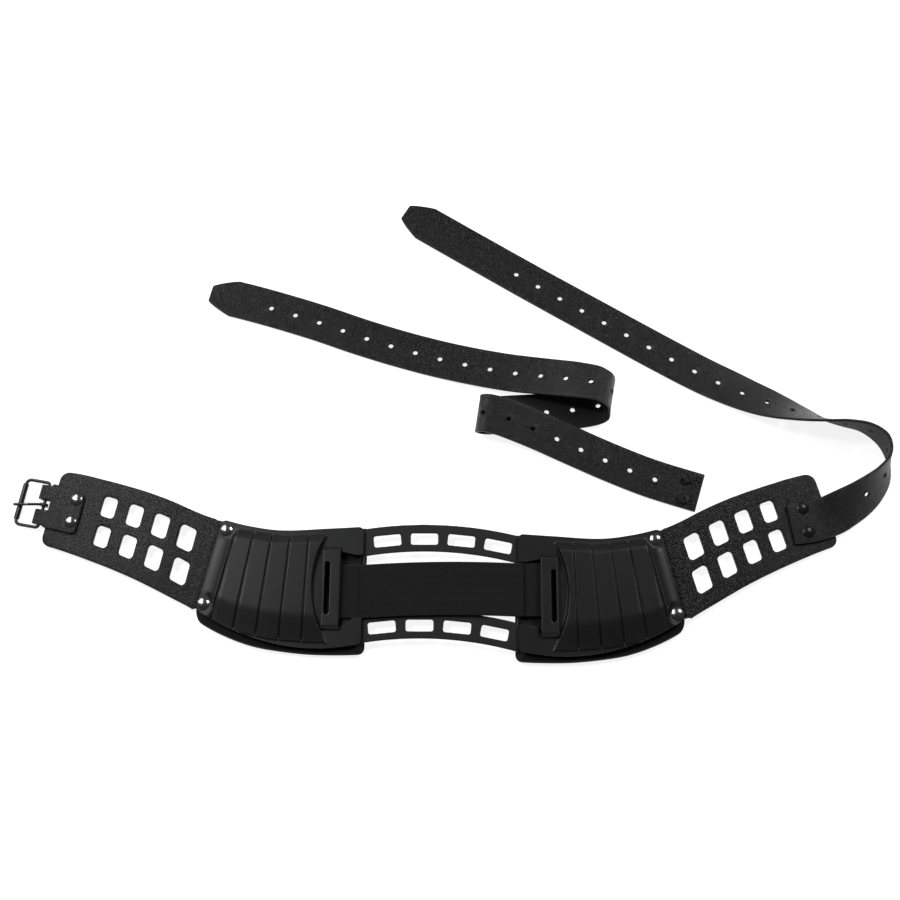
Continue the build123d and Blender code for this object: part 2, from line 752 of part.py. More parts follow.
            holes(wing_plane(sign, wing_bottom), strap_rivet_places, sign, wing_thick, rivet_shank_radius)
        else:
            holes(buckle_plane(-wing_thick), chape_rivet_places, 1, 2 * wing_thick, rivet_shank_radius)
    wing.part.label = f"{side}_wing"
    export_step(wing.part, f"parts/{side}_wing.step")


# chape: one leather piece folded round the heel bar and riveted over the left wing's end
gap = wing_thick / 2 + shaft_clearance
fold_radius = gap + chape_thick
fold_reach = fold_radius + chape_slack + 1
side_view = Plane(
    origin=buckle_plane().from_local_coords((0, -chape_width, 0)),
    x_dir=buckle_plane().x_dir,
    z_dir=buckle_plane().y_dir,
)

with BuildPart() as buckle_chape:
    with BuildSketch(side_view):
        with Locations((chape_slack, 0)):
            Circle(fold_radius)
        with Locations(((chape_slack - chape_length) / 2 - 1, 0)):
            Rectangle(chape_length + chape_slack + 2, 2 * fold_radius)
        with Locations((chape_slack, 0)):
            Circle(gap, mode=Mode.SUBTRACT)
        with Locations(((chape_slack - chape_length) / 2 - 2, 0)):
            Rectangle(chape_length + chape_slack + 4, 2 * gap, mode=Mode.SUBTRACT)
    extrude(amount=2 * chape_width)
    with BuildSketch(buckle_plane(-2 * fold_radius)) as chape_face:
        with BuildLine() as chape_rim:
            Polyline(
                (fold_reach, -chape_fold_width / 2),
                (-chape_notch, -chape_fold_width / 2),
                (-chape_notch - 1.5, -chape_width / 2),
                (-chape_length, chape_end_shift - chape_end_width / 2),
                (-chape_length, chape_end_shift + chape_end_width / 2),
                (-chape_notch - 1.5, chape_width / 2),
                (-chape_notch, chape_fold_width / 2),
                (fold_reach, chape_fold_width / 2),
                close=True,
            )
        make_face()
        fillet(chape_face.vertices().sort_by(Axis.X)[:2], chape_round)
        with Locations(((fold_reach - tongue_slot_depth) / 2, 0)):
            Rectangle(fold_reach + tongue_slot_depth, tongue_slot_width, mode=Mode.SUBTRACT)
    extrude(amount=4 * fold_radius, mode=Mode.INTERSECT)
    holes(buckle_plane(-2 * fold_radius), chape_rivet_places, 1, 4 * fold_radius, rivet_shank_radius)

buckle_chape.part.label = "buckle_chape"
export_step(buckle_chape.part, "parts/buckle_chape.step")

with BuildPart() as chape_rivets:
    rivets(buckle_plane(fold_radius), chape_rivet_places, 1, 2 * fold_radius + rivet_cap_thick / 2)

chape_rivets.part.label = "chape_rivets"
export_step(chape_rivets.part, "parts/chape_rivets.step")

with BuildPart() as chape_rivet_caps:
    caps(buckle_plane(-fold_radius), chape_rivet_places, 1)

chape_rivet_caps.part.label = "chape_rivet_caps"
export_step(chape_rivet_caps.part, "parts/chape_rivet_caps.step")

# buckle frame: one loop of round wire; its heel bar turns in the chape's fold
with BuildPart() as buckle_frame:
    half_height = buckle_height / 2
    with BuildLine(buckle_plane()) as wire_path:
        FilletPolyline(
            (buckle_reach, half_height),
            (0, half_height),
            (0, -half_height),
            (buckle_reach, -half_height),
            close=True,
            radius=[buckle_toe_round, buckle_heel_round, buckle_heel_round, buckle_toe_round],
        )
    wire_loop = wire_path.wires()[0]
    with BuildSketch(Plane(wire_loop ^ 0)):
        Circle(wire_radius)
    sweep(path=wire_loop)

buckle_frame.part.label = "buckle_frame"
export_step(buckle_frame.part, "parts/buckle_frame.step")


def across_bar(x, length):
    """Plane at one end of a length centred on a line parallel to the heel bar."""
    base = shifted(buckle_plane(), x, -length / 2)
    return Plane(origin=base.origin, x_dir=base.x_dir, z_dir=base.y_dir)


with BuildPart() as buckle_roller:
    with BuildSketch(across_bar(buckle_reach, roller_length)):
        Circle(roller_radius)
        Circle(wire_radius + shaft_clearance, mode=Mode.SUBTRACT)
    extrude(amount=roller_length)

buckle_roller.part.label = "buckle_roller"
export_step(buckle_roller.part, "parts/buckle_roller.step")

# tongue: an eye round the heel bar and a pin that lies over the roller
tongue_height = roller_radius + 2 * shaft_clearance + tongue_radius
tongue_base = buckle_plane(tongue_height)
skew = radians(tongue_skew)
tongue_tip = tongue_base.from_local_coords((cos(skew), sin(skew), 0)) - tongue_base.origin
with BuildPart() as buckle_tongue:
    with BuildSketch(across_bar(0, 2 * tongue_radius)):
        Circle(tongue_eye_radius)
    extrude(amount=2 * tongue_radius)
    with BuildSketch(Plane(origin=tongue_base.origin, z_dir=tongue_tip)):
        Circle(tongue_radius)
    extrude(amount=tongue_length)
    fillet(buckle_tongue.faces().sort_by(Axis(tongue_base.origin, tongue_tip))[-1].edges(), 0.8 * tongue_radius)
    with BuildSketch(across_bar(0, 4 * tongue_radius)):
        Circle(wire_radius + shaft_clearance)
    extrude(amount=4 * tongue_radius, mode=Mode.SUBTRACT)

buckle_tongue.part.label = "buckle_tongue"
export_step(buckle_tongue.part, "parts/buckle_tongue.step")


def blend(before, start, end, after, t):
    """Catmull-Rom value between start and end at share t."""
    return 0.5 * (
        2 * start
        + (end - before) * t
        + (2 * before - 5 * start + 4 * end - after) * t**2
        + (3 * start - before - 3 * end + after) * t**3
    )


def strap_line(route, steps):
    """Centre points of a strap along its route, each with the direction of its width."""
    line = []
    ends = [route[0], *route, route[-1]]
    for i in range(1, len(ends) - 2):
        for step in range(steps):
            t = step / steps
            line.append([blend(*values, t) for values in zip(ends[i - 1], ends[i], ends[i + 1], ends[i + 2])])
    line.append(list(route[-1]))
    points = []
    for x, y, lift, across, lean in line:
        rise = strap_width / 2 * abs(sin(radians(lean))) + strap_thick / 2 * cos(radians(lean))
        width = Vector(
            cos(radians(across)) * cos(radians(lean)), sin(radians(across)) * cos(radians(lean)), sin(radians(lean))
        )
        points.append((Vector(x, y, lift + rise), width))
    return points


def strap_frames(points):
    """Planes square to the strap: x across it, z along it; with the distance gone so far."""
    frames = []
    gone = 0.0
    for i, (centre, width) in enumerate(points):
        ahead = points[min(i + 1, len(points) - 1)][0] - points[max(i - 1, 0)][0]
        if i:
            gone += (centre - points[i - 1][0]).length
        across = Plane(origin=centre, x_dir=width, z_dir=ahead)
        depth = strap_width / 2 * abs(across.x_dir.Z) + strap_thick / 2 * abs(across.y_dir.Z)
        lifted = Vector(centre.X, centre.Y, max(centre.Z, depth + strap_ground_air))
        frames.append((Plane(origin=lifted, x_dir=across.x_dir, z_dir=across.z_dir), gone))
    return frames


def strap_sections(frames, tip_at_end):
    """Cross-sections of a strap, narrowing to a round tip at one end."""
    total = frames[-1][1]
    sections = []
    for plane, gone in frames:
        from_tip = total - gone if tip_at_end else gone
        width = strap_width
        if from_tip < strap_tip_length:
            width = max(6.0, strap_width * sqrt(1 - (1 - from_tip / strap_tip_length) ** 2.5))
        with BuildSketch(plane, mode=Mode.PRIVATE) as section:
            Rectangle(width, strap_thick)
        sections.append(section.sketch)
    return sections


def strap_holes(frames, first, tip_at_end):
    """Punched holes at an even pitch, wherever the strap lies flat."""
    total = frames[-1][1]
    reach = first
    while reach < total:
        place = total - reach if tip_at_end else reach
        near = [i for i in range(1, len(frames)) if frames[i - 1][1] <= place <= frames[i][1]][0]
        start, end = frames[near - 1], frames[near]
        share = (place - start[1]) / (end[1] - start[1])
        centre = start[0].origin + (end[0].origin - start[0].origin) * share
        up = start[0].y_dir
        if abs(up.Z) > flat_enough:
            with BuildSketch(Plane(origin=centre, z_dir=up)) as hole:
                Circle(strap_hole_radius)
            extrude(hole.sketch, amount=strap_thick, both=True, mode=Mode.SUBTRACT)
        reach += strap_hole_pitch


long_frames = strap_frames(strap_line(long_strap_route, strap_steps))
with BuildPart() as long_strap:
    loft(strap_sections(long_frames, True), ruled=True)
    strap_holes(long_frames, long_strap_first_hole, True)
    holes(wing_plane(1, 0), strap_rivet_places, 1, 4 * wing_bottom, rivet_shank_radius)

long_strap.part.label = "long_strap"
export_step(long_strap.part, "parts/long_strap.step")

strap_rivet_plane = wing_plane(1, strap_rivet_seat)
with BuildPart() as long_strap_rivets:
    rivets(strap_rivet_plane, strap_rivet_places, 1, strap_rivet_seat - wing_bottom + rivet_cap_thick / 2)

long_strap_rivets.part.label = "long_strap_rivets"
export_step(long_strap_rivets.part, "parts/long_strap_rivets.step")

with BuildPart() as long_strap_rivet_caps:
    caps(wing_plane(1, wing_bottom), strap_rivet_places, 1)

long_strap_rivet_caps.part.label = "long_strap_rivet_caps"
export_step(long_strap_rivet_caps.part, "parts/long_strap_rivet_caps.step")

# extension strap: it folds back on itself; a second strap would screw to its square end
extension_frames = strap_frames(strap_line(extension_route, strap_steps))
end_centre, end_width = strap_line(extension_route, strap_steps)[-1]
end_ahead = extension_frames[-1][0].z_dir
end_plane = Plane(origin=end_centre - end_ahead * post_back, x_dir=end_width, z_dir=(0, 0, 1))
post_places = [(step * post_spacing / 2, 0) for step in (-1, 1)]
strap_low = -strap_thick / 2
with BuildPart() as extension_strap:
    loft(strap_sections(extension_frames, False), ruled=True)
    strap_holes(extension_frames, extension_first_hole, False)
    holes(end_plane.offset(-strap_thick), post_places, 1, 2 * strap_thick, post_radius + post_air)

extension_strap.part.label = "extension_strap"
export_step(extension_strap.part, "parts/extension_strap.step")

# screw posts pushed up through the strap, each closed by a slotted screw
with BuildPart() as extension_screw_posts:
    discs(end_plane.offset(strap_low - post_air), post_places, 1, -post_head_thick, post_head_radius)
    discs(end_plane.offset(strap_low - post_air), post_places, 1, post_length + post_air, post_radius)
    holes(end_plane.offset(strap_low + post_length), post_places, 1, -screw_thread_depth, screw_radius)

extension_screw_posts.part.label = "extension_screw_posts"
export_step(extension_screw_posts.part, "parts/extension_screw_posts.step")

with BuildPart() as extension_screws:
    seat = end_plane.offset(strap_low + post_length)
    discs(seat, post_places, 1, -screw_thread_depth, screw_radius)
    discs(seat, post_places, 1, post_head_thick, post_head_radius)
    with BuildSketch(seat.offset(post_head_thick)):
        with Locations(*post_places):
            Rectangle(2 * post_head_radius, screw_slot_width, rotation=screw_slot_turn)
    extrude(amount=-screw_slot_depth, mode=Mode.SUBTRACT)

extension_screws.part.label = "extension_screws"
export_step(extension_screws.part, "parts/extension_screws.step")
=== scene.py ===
# Waist belt: ribbed back plates on a flexible frame, perforated leather wings, buckle and two straps.
import math
import bmesh
import bpy
import numpy as np
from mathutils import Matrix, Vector


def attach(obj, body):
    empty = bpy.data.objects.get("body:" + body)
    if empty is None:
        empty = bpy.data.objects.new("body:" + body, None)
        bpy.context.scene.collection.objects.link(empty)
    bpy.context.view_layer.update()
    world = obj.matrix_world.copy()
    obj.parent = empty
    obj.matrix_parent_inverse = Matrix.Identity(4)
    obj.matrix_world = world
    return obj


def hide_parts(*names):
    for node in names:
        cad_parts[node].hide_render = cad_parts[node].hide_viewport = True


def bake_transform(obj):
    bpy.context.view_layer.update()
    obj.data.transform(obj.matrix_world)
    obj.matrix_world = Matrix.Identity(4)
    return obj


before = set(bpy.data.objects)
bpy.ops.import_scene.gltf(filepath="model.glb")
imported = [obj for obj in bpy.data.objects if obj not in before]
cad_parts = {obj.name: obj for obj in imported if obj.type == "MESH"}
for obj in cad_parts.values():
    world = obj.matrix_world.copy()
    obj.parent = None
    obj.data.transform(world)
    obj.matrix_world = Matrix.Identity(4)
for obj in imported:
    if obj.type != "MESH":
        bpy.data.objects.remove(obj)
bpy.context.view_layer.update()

mm = 0.001
layout = {"drop": 2.8, "tilt": -0.47}  # step and turn of the two halves, mm and degrees
print("frame loaded")



def halfPoint(sign, u, v, z):
    # (outwards, up, height) of one half to the row frame: turn by the tilt, shift by the drop
    turn = math.radians(layout["tilt"])
    x = sign * u * math.cos(turn) - v * math.sin(turn)
    y = -sign * layout["drop"] + sign * u * math.sin(turn) + v * math.cos(turn)
    return np.stack(np.broadcast_arrays(x, y, z), axis=-1) * mm


def smoothStep(value):
    # 3v^2 - 2v^3 between 0 and 1
    v = np.clip(value, 0, 1)
    return v * v * (3 - 2 * v)


def curveThrough(places, count=400):
    # Catmull-Rom line through the points, as a function u -> v
    points = np.array([places[0], *places, places[-1]], float)
    t = np.linspace(0, 1, count // len(places) + 2)[:, None]
    a, b, c, d = points[:-3, None], points[1:-2, None], points[2:-1, None], points[3:, None]
    line = 0.5 * (2 * b + (c - a) * t + (2 * a - 5 * b + 4 * c - d) * t**2 + (3 * b - a - 3 * c + d) * t**3)
    line = line.reshape(-1, 2)
    order = np.argsort(line[:, 0])
    return lambda u: np.interp(u, line[order, 0], line[order, 1])


def newPiece(name, points, faces, material, mergeAt=1e-6, smooth=True):
    # mesh from arrays of points and faces, doubles merged and normals outwards
    mesh = bpy.data.meshes.new(name)
    mesh.from_pydata(np.asarray(points).reshape(-1, 3).tolist(), [], [list(f) for f in faces])
    work = bmesh.new()
    work.from_mesh(mesh)
    bmesh.ops.remove_doubles(work, verts=work.verts, dist=mergeAt)
    bmesh.ops.recalc_face_normals(work, faces=work.faces)
    work.to_mesh(mesh)
    work.free()
    mesh.polygons.foreach_set("use_smooth", np.full(len(mesh.polygons), smooth))
    mesh.set_sharp_from_angle(angle=math.radians(55))
    mesh.materials.append(material)
    piece = bpy.data.objects.new(name, mesh)
    bpy.context.scene.collection.objects.link(piece)
    return piece


def applyModifiers(piece):
    # the piece keeps the shape its modifiers give it
    graph = bpy.context.evaluated_depsgraph_get()
    mesh = bpy.data.meshes.new_from_object(piece.evaluated_get(graph))
    piece.modifiers.clear()
    piece.data = mesh
    return piece


def gridShell(top, low, keep):
    # closed shell: a top grid, a bottom grid and a wall wherever a kept cell meets a missing one
    rows, columns = top.shape[:2]
    index = np.arange(rows * columns).reshape(rows, columns)
    shift = rows * columns
    a, b, c, d = index[:-1, :-1], index[1:, :-1], index[1:, 1:], index[:-1, 1:]
    upper = np.stack([a, b, c, d], -1)[keep]
    under = upper[:, ::-1] + shift
    padded = np.pad(keep, 1)
    walls = []
    for edge, neighbour in (
        ((a, b), padded[1:-1, :-2]),
        ((b, c), padded[2:, 1:-1]),
        ((c, d), padded[1:-1, 2:]),
        ((d, a), padded[:-2, 1:-1]),
    ):
        rim = keep & ~neighbour
        p, q = edge[0][rim], edge[1][rim]
        walls.append(np.stack([q, p, p + shift, q + shift], -1))
    return np.concatenate([top.reshape(-1, 3), low.reshape(-1, 3)]), np.concatenate([upper, under, *walls])


def bevelled(piece, width, segments=2, angle=50):
    # rounds the sharp edges
    bevel = piece.modifiers.new("edges", "BEVEL")
    bevel.width = width * mm
    bevel.segments = segments
    bevel.limit_method = "ANGLE"
    bevel.angle_limit = math.radians(angle)
    bevel.harden_normals = False
    return piece


def softCopy(name, nodes, voxel, rounds, material, extra=()):
    # merged copies of CAD pieces, rebuilt as one even skin and smoothed
    work = bmesh.new()
    for node in nodes:
        work.from_mesh(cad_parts[node].data)
    for points, faces in extra:
        verts = [work.verts.new(p) for p in points]
        for face in faces:
            work.faces.new([verts[i] for i in face])
    bmesh.ops.remove_doubles(work, verts=work.verts, dist=2e-6)
    mesh = bpy.data.meshes.new(name)
    work.to_mesh(mesh)
    work.free()
    piece = bpy.data.objects.new(name, mesh)
    bpy.context.scene.collection.objects.link(piece)
    remesh = piece.modifiers.new("skin", "REMESH")
    remesh.mode = "VOXEL"
    remesh.voxel_size = voxel * mm
    remesh.use_smooth_shade = True
    relax = piece.modifiers.new("soften", "SMOOTH")
    relax.factor = 0.5
    relax.iterations = rounds
    applyModifiers(piece)
    piece.data.materials.clear()
    piece.data.materials.append(material)
    piece.data.polygons.foreach_set("use_smooth", np.ones(len(piece.data.polygons), bool))
    highlightRimMask(piece, 3)
    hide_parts(*nodes)
    return piece


def highlightRimMask(piece, rounds):
    # "rim": 1 where the skin turns over an edge, spread a little over its neighbours; it masks the painted
    # edge highlight
    mesh = piece.data
    count = len(mesh.vertices)
    normals = np.empty(count * 3)
    mesh.vertices.foreach_get("normal", normals)
    rim = np.clip(1.15 - np.abs(normals.reshape(-1, 3)[:, 2]) * 1.2, 0, 1)
    edges = np.empty(len(mesh.edges) * 2, int)
    mesh.edges.foreach_get("vertices", edges)
    a, b = edges.reshape(-1, 2).T
    degree = np.bincount(a, minlength=count) + np.bincount(b, minlength=count)
    for _ in range(rounds):
        total = np.bincount(a, rim[b], count) + np.bincount(b, rim[a], count)
        rim = 0.5 * rim + 0.5 * total / np.maximum(degree, 1)
    attribute = mesh.attributes.new("rim", "FLOAT", "POINT")
    attribute.data.foreach_set("value", rim.astype(np.float32))



# a shader value: the usual operators add Math nodes
class Wire:
    def __init__(self, tree, socket):
        self.tree, self.socket = tree, socket

    def join(self, kind, other, flip=False):
        node = self.tree.nodes.new("ShaderNodeMath")
        node.operation = kind
        for slot, value in zip(node.inputs, (other, self) if flip else (self, other)):
            if isinstance(value, Wire):
                self.tree.links.new(value.socket, slot)
            elif value is not None:
                slot.default_value = value
        return Wire(self.tree, node.outputs[0])

    def __add__(self, other):
        return self.join("ADD", other)

    def __radd__(self, other):
        return self.join("ADD", other, True)

    def __sub__(self, other):
        return self.join("SUBTRACT", other)

    def __rsub__(self, other):
        return self.join("SUBTRACT", other, True)

    def __mul__(self, other):
        return self.join("MULTIPLY", other)

    def lowest(self, other):
        return self.join("MINIMUM", other)

    def sine(self):
        return self.join("SINE", None)

    def size(self):
        return self.join("ABSOLUTE", None)


# one material with a Principled shader and a method that adds any node
class Finish:
    def __init__(self, name, **fixed):
        self.material = bpy.data.materials.new(name)
        self.material.use_nodes = True
        self.tree = self.material.node_tree
        self.shader = self.tree.nodes["Principled BSDF"]
        for socket, value in fixed.items():
            self.shader.inputs[socket.replace("_", " ")].default_value = value

    def add(self, kind, settings=None, out=0, **inputs):
        node = self.tree.nodes.new(kind)
        for key, value in (settings or {}).items():
            if key == "stops":
                ramp = node.color_ramp
                while len(ramp.elements) < len(value):
                    ramp.elements.new(0.5)
                for element, (place, colour) in zip(ramp.elements, value):
                    element.position = place
                    element.color = grey(colour)
            else:
                setattr(node, key, value)
        for key, value in inputs.items():
            numbered = key[0] == "i" and key[1:].isdigit()
            socket = node.inputs[int(key[1:]) if numbered else key.replace("_", " ")]
            if isinstance(value, Wire):
                self.tree.links.new(value.socket, socket)
            else:
                socket.default_value = value
        return Wire(self.tree, node.outputs[out])

    def place(self, own=False):
        # object coordinates, or the piece's own UV map in metres
        return self.add("ShaderNodeTexCoord", out=2 if own else 3)

    def noise(self, where, scale, detail=3.0, rough=0.55):
        return self.add("ShaderNodeTexNoise", Vector=where, Scale=scale, Detail=detail, Roughness=rough)

    def cells(self, where, scale, feature="DISTANCE_TO_EDGE"):
        return self.add("ShaderNodeTexVoronoi", {"feature": feature}, Vector=where, Scale=scale)

    def value(self, name):
        return self.add("ShaderNodeAttribute", {"attribute_name": name}, out=2)

    def ramp(self, amount, *stops):
        return self.add("ShaderNodeValToRGB", {"stops": stops}, Fac=amount)

    def mix(self, amount, first, second):
        # colour mix
        return self.add("ShaderNodeMix", {"data_type": "RGBA"}, out=2, i0=amount, i6=first, i7=second)

    def bump(self, height, distance, strength=1.0):
        return self.add("ShaderNodeBump", Height=height, Distance=distance, Strength=strength)

    def use(self, **links):
        for socket, wire in links.items():
            self.tree.links.new(wire.socket, self.shader.inputs[socket.replace("_", " ")])
        return self.material


def grey(level, tint=(1.0, 1.0, 1.0)):
    return (level * tint[0], level * tint[1], level * tint[2], 1)


cool = (0.96, 0.99, 1.06)
# rim: the colour of the painted highlight on the edges of the hide
leatherLook = {"dark": 0.004, "light": 0.009, "rim": 0.034, "grain": 620.0, "rough": 0.33}


def leatherFinish(name, look, own=False):
    # grained waxed hide: small cells with fine noise between, with a painted highlight that makes it paler
    # at the edges
    finish = Finish(name, Specular_IOR_Level=0.55, Coat_Roughness=0.3)
    where = finish.place(own)
    cells = finish.cells(where, look["grain"])
    broad = finish.noise(where, 28.0, 4.0)
    fine = finish.noise(where, 2600.0, 2.0)
    creases = finish.noise(where, 260.0, 5.0, 0.7)
    height = (cells * 2.2).lowest(0.35) + fine * 0.15 + creases * 0.7
    rim = finish.value("rim")
    # painted highlight: a paler colour where the skin turns over an edge and round the strap holes, broken
    # up by the crease noise
    rimHighlight = rim * (0.45 + creases * 0.9)
    colour = finish.mix(broad, grey(look["dark"], cool), grey(look["light"], cool))
    colour = finish.mix((rimHighlight * 0.75).lowest(1.0), colour, grey(look["rim"], cool))
    flesh = finish.value("flesh")
    nap = finish.noise(where, 900.0, 4.0, 0.75)
    colour = finish.mix(flesh, colour, finish.mix(nap, grey(0.006), grey(0.022)))
    rough = (broad * 0.30 + creases * 0.22 + (look["rough"] - 0.24)) + flesh * 0.35 - rim * 0.06
    return finish.use(
        Base_Color=colour,
        Roughness=rough,
        Coat_Weight=0.06 - flesh * 0.06,
        Normal=finish.bump(height, 0.0011, 0.8),
    )


def plasticFinish(name, level, rough, grain, depth):
    # moulded plastic: fine spark-eroded grain, faint flow clouds, a painted highlight on the edges
    finish = Finish(name, Specular_IOR_Level=0.5)
    where = finish.place()
    clouds = finish.noise(where, 22.0, 3.0)
    speckle = finish.noise(where, grain, 2.0, 0.6)
    rim = finish.value("rim")
    colour = finish.mix(clouds, grey(level * 0.8, cool), grey(level * 1.25, cool))
    # painted highlight: the colour turns paler where the skin turns over an edge
    colour = finish.mix(rim * 0.5, colour, grey(level * 1.6, cool))
    return finish.use(
        Base_Color=colour,
        Roughness=clouds * 0.1 + speckle * 0.1 + (rough - 0.1),
        Normal=finish.bump(speckle, depth),
    )


def webbingFinish(name):
    # herringbone weave: two crossing sets of ribs in the piece's own map, flat shaded yarns
    finish = Finish(name, Specular_IOR_Level=0.35, Sheen_Weight=0.15)
    where = finish.place(True)
    along = finish.add("ShaderNodeSeparateXYZ", out=0, Vector=where)
    across = finish.add("ShaderNodeSeparateXYZ", out=1, Vector=where)
    ribs = (across * (2 * math.pi / 0.0021)).sine().size()
    picks = (along * (2 * math.pi / 0.0015) + across * 1500.0).sine()
    yarn = ribs * 0.7 + picks * 0.3
    fuzz = finish.noise(where, 1800.0, 3.0)
    colour = finish.mix((yarn * 0.6 + fuzz * 0.4).lowest(1.0), grey(0.004), grey(0.017, cool))
    return finish.use(Base_Color=colour, Roughness=fuzz * 0.15 + 0.68, Normal=finish.bump(yarn, 0.0004))


def metalFinish(name, colour, rough, metallic=1.0, worn=None):
    # polished or lacquered steel with fine scratches; the lacquer wears through in small spots
    finish = Finish(name, Specular_IOR_Level=0.5, Metallic=metallic)
    where = finish.place()
    scratches = finish.noise(where, 700.0, 5.0, 0.7)
    spots = finish.ramp(finish.noise(where, 160.0, 4.0), (0.60, 0.0), (0.72, 1.0))
    base = finish.mix(scratches, grey(colour * 0.8), grey(colour * 1.15))
    if worn is None:
        return finish.use(Base_Color=base, Roughness=scratches * 0.2 + (rough - 0.1))
    spotted = finish.add("ShaderNodeRGBToBW", Color=spots)
    base = finish.mix(spotted * 0.6, base, grey(worn))
    return finish.use(
        Base_Color=base,
        Metallic=spotted * 0.6 + metallic,
        Roughness=scratches * 0.2 + (rough - 0.1),
        Normal=finish.bump(scratches, 0.00004),
    )


def foamFinish(name):
    # closed-cell foam skin: tiny pores and a soft dull surface
    finish = Finish(name, Specular_IOR_Level=0.3)
    where = finish.place()
    pores = finish.cells(where, 1400.0, "F1")
    clouds = finish.noise(where, 40.0, 3.0)
    colour = finish.mix(clouds, grey(0.008), grey(0.015))
    return finish.use(
        Base_Color=colour,
        Roughness=clouds * 0.1 + 0.68,
        Normal=finish.bump(pores, 0.00015, 0.5),
    )


wingHide = leatherFinish("wing_leather", leatherLook)
chapeHide = leatherFinish("chape_leather", {**leatherLook, "grain": 800.0, "rough": 0.34, "light": 0.02})
strapHide = leatherFinish("strap_leather", {**leatherLook, "rough": 0.38}, own=True)
shellPlastic = plasticFinish("shell_plastic", 0.012, 0.42, 1500.0, 0.00003)
barPlastic = plasticFinish("bar_plastic", 0.016, 0.40, 1500.0, 0.00003)
framePlastic = plasticFinish("frame_plastic", 0.012, 0.56, 1700.0, 0.00012)
wovenBlack = webbingFinish("webbing")
padFoam = foamFinish("pad_foam")
nickel = metalFinish("nickel", 0.62, 0.22)
plainSteel = metalFinish("plain_steel", 0.42, 0.38)
blackLacquer = metalFinish("black_hardware", 0.02, 0.30, 0.25, worn=0.2)
buckleSteel = metalFinish("buckle_steel", 0.03, 0.26, 0.35, worn=0.35)
print("materials made")


plate = {
    "upper": [(72.4, 52.8), (105, 50.8), (148, 48.7), (180, 52.6), (206, 59)],
    "lower": [(72.4, -57.2), (110, -61.2), (150, -57.7), (191.5, -44.8), (225.5, -27)],
    "flangeTop": 14.2, "bottom": 11.2, "crown": 19.0,
    "grooveTop": (191.5, 17.0), "grooveBottom": (211.0, 21.0), "grooves": 5,
    "grooveWidth": 0.75, "grooveDepth": 1.5, "bayEnd": 108.3, "corner": 5.0,
    "rivets": [(201.7, 48.5), (219.0, -21.3)], "rivetSeat": 7.5, "rivetRun": 4.0,
    "lens": ([45.5, 1.0, -57.0], [105.5, 117.5, 103.0]), "lensRun": 1.8,
    "topShoulder": ([100, 150, 190, 210], [46.5, 44.5, 50.0, 53.0]), "topRun": 11.0,
    "lowShoulder": ([100, 130, 158, 190, 215], [-57, -56, -53.5, -46.0, -37.0]), "lowRun": 25.0,
    "endGap": 0.8, "endRun": 14.0, "crowning": 0.25,
    "bayU": [72.4, 79, 90], "bayHigh": [26.4, 25.6, 28.5], "bayLow": [-33, -32, -41],
}
plateInner = plate["upper"][0][0]
plateTopCorner, plateLowCorner = plate["upper"][-1], plate["lower"][-1]


def grooveLine(number):
    top = np.array([plate["grooveTop"][0] - number * plate["grooveTop"][1], 51.0 - 1.2 * number])
    low = np.array([
        plate["grooveBottom"][0] - number * plate["grooveBottom"][1],
        -36.0 - 7.0 * number + 0.3 * number**2,
    ])
    return top, low


def plateHeight(u, v):
    # flange height plus a soft step wherever all four shoulders are passed, less the grooves
    lens = np.polyfit(*plate["lens"], 2)
    insideLens = (u - np.polyval(lens, v)) / plate["lensRun"]
    insideTop = (np.interp(u, *plate["topShoulder"]) - v) / plate["topRun"]
    insideLow = (v - np.interp(u, *plate["lowShoulder"])) / plate["lowRun"]
    (topU, topV), (lowU, lowV) = plateTopCorner, plateLowCorner
    edge = topU + (topV - v) / (topV - lowV) * (lowU - topU)
    insideEnd = np.clip((edge - plate["endGap"] - u) / plate["endRun"], 0, 1) ** 1.9
    step = np.minimum(smoothStep(insideLens), insideEnd)
    step = np.minimum(step, smoothStep(insideTop) ** 0.8)
    step = np.minimum(step, smoothStep(insideLow * 0.55 + 0.22 * (insideLow > 0)) / smoothStep(0.77))
    z = plate["flangeTop"] + (plate["crown"] - plate["flangeTop"]) * np.clip(step, 0, 1)
    for seatU, seatV in plate["rivets"]:
        away = np.hypot(u - seatU, v - seatV)
        outside = smoothStep((away - plate["rivetSeat"]) / plate["rivetRun"])
        z = plate["flangeTop"] + (z - plate["flangeTop"]) * outside
    crowning = plate["crowning"] * np.sin(np.clip((u - 110) / 95, 0, 1) * math.pi)
    z = z + crowning * step
    for number in range(plate["grooves"]):
        top, low = grooveLine(number)
        along = (top - low) / np.linalg.norm(top - low)
        away = np.abs((u - low[0]) * along[1] - (v - low[1]) * along[0])
        reach = smoothStep((z - plate["flangeTop"] - 0.25) / 1.0)
        z = z - plate["grooveDepth"] * reach * np.exp(-((away / plate["grooveWidth"]) ** 4))
    return z


def cornerCut(distance, radius):
    # how far a round corner pulls the outline in at this distance from the end
    near = np.clip(radius - distance, 0, radius)
    return radius - np.sqrt(radius**2 - near**2)


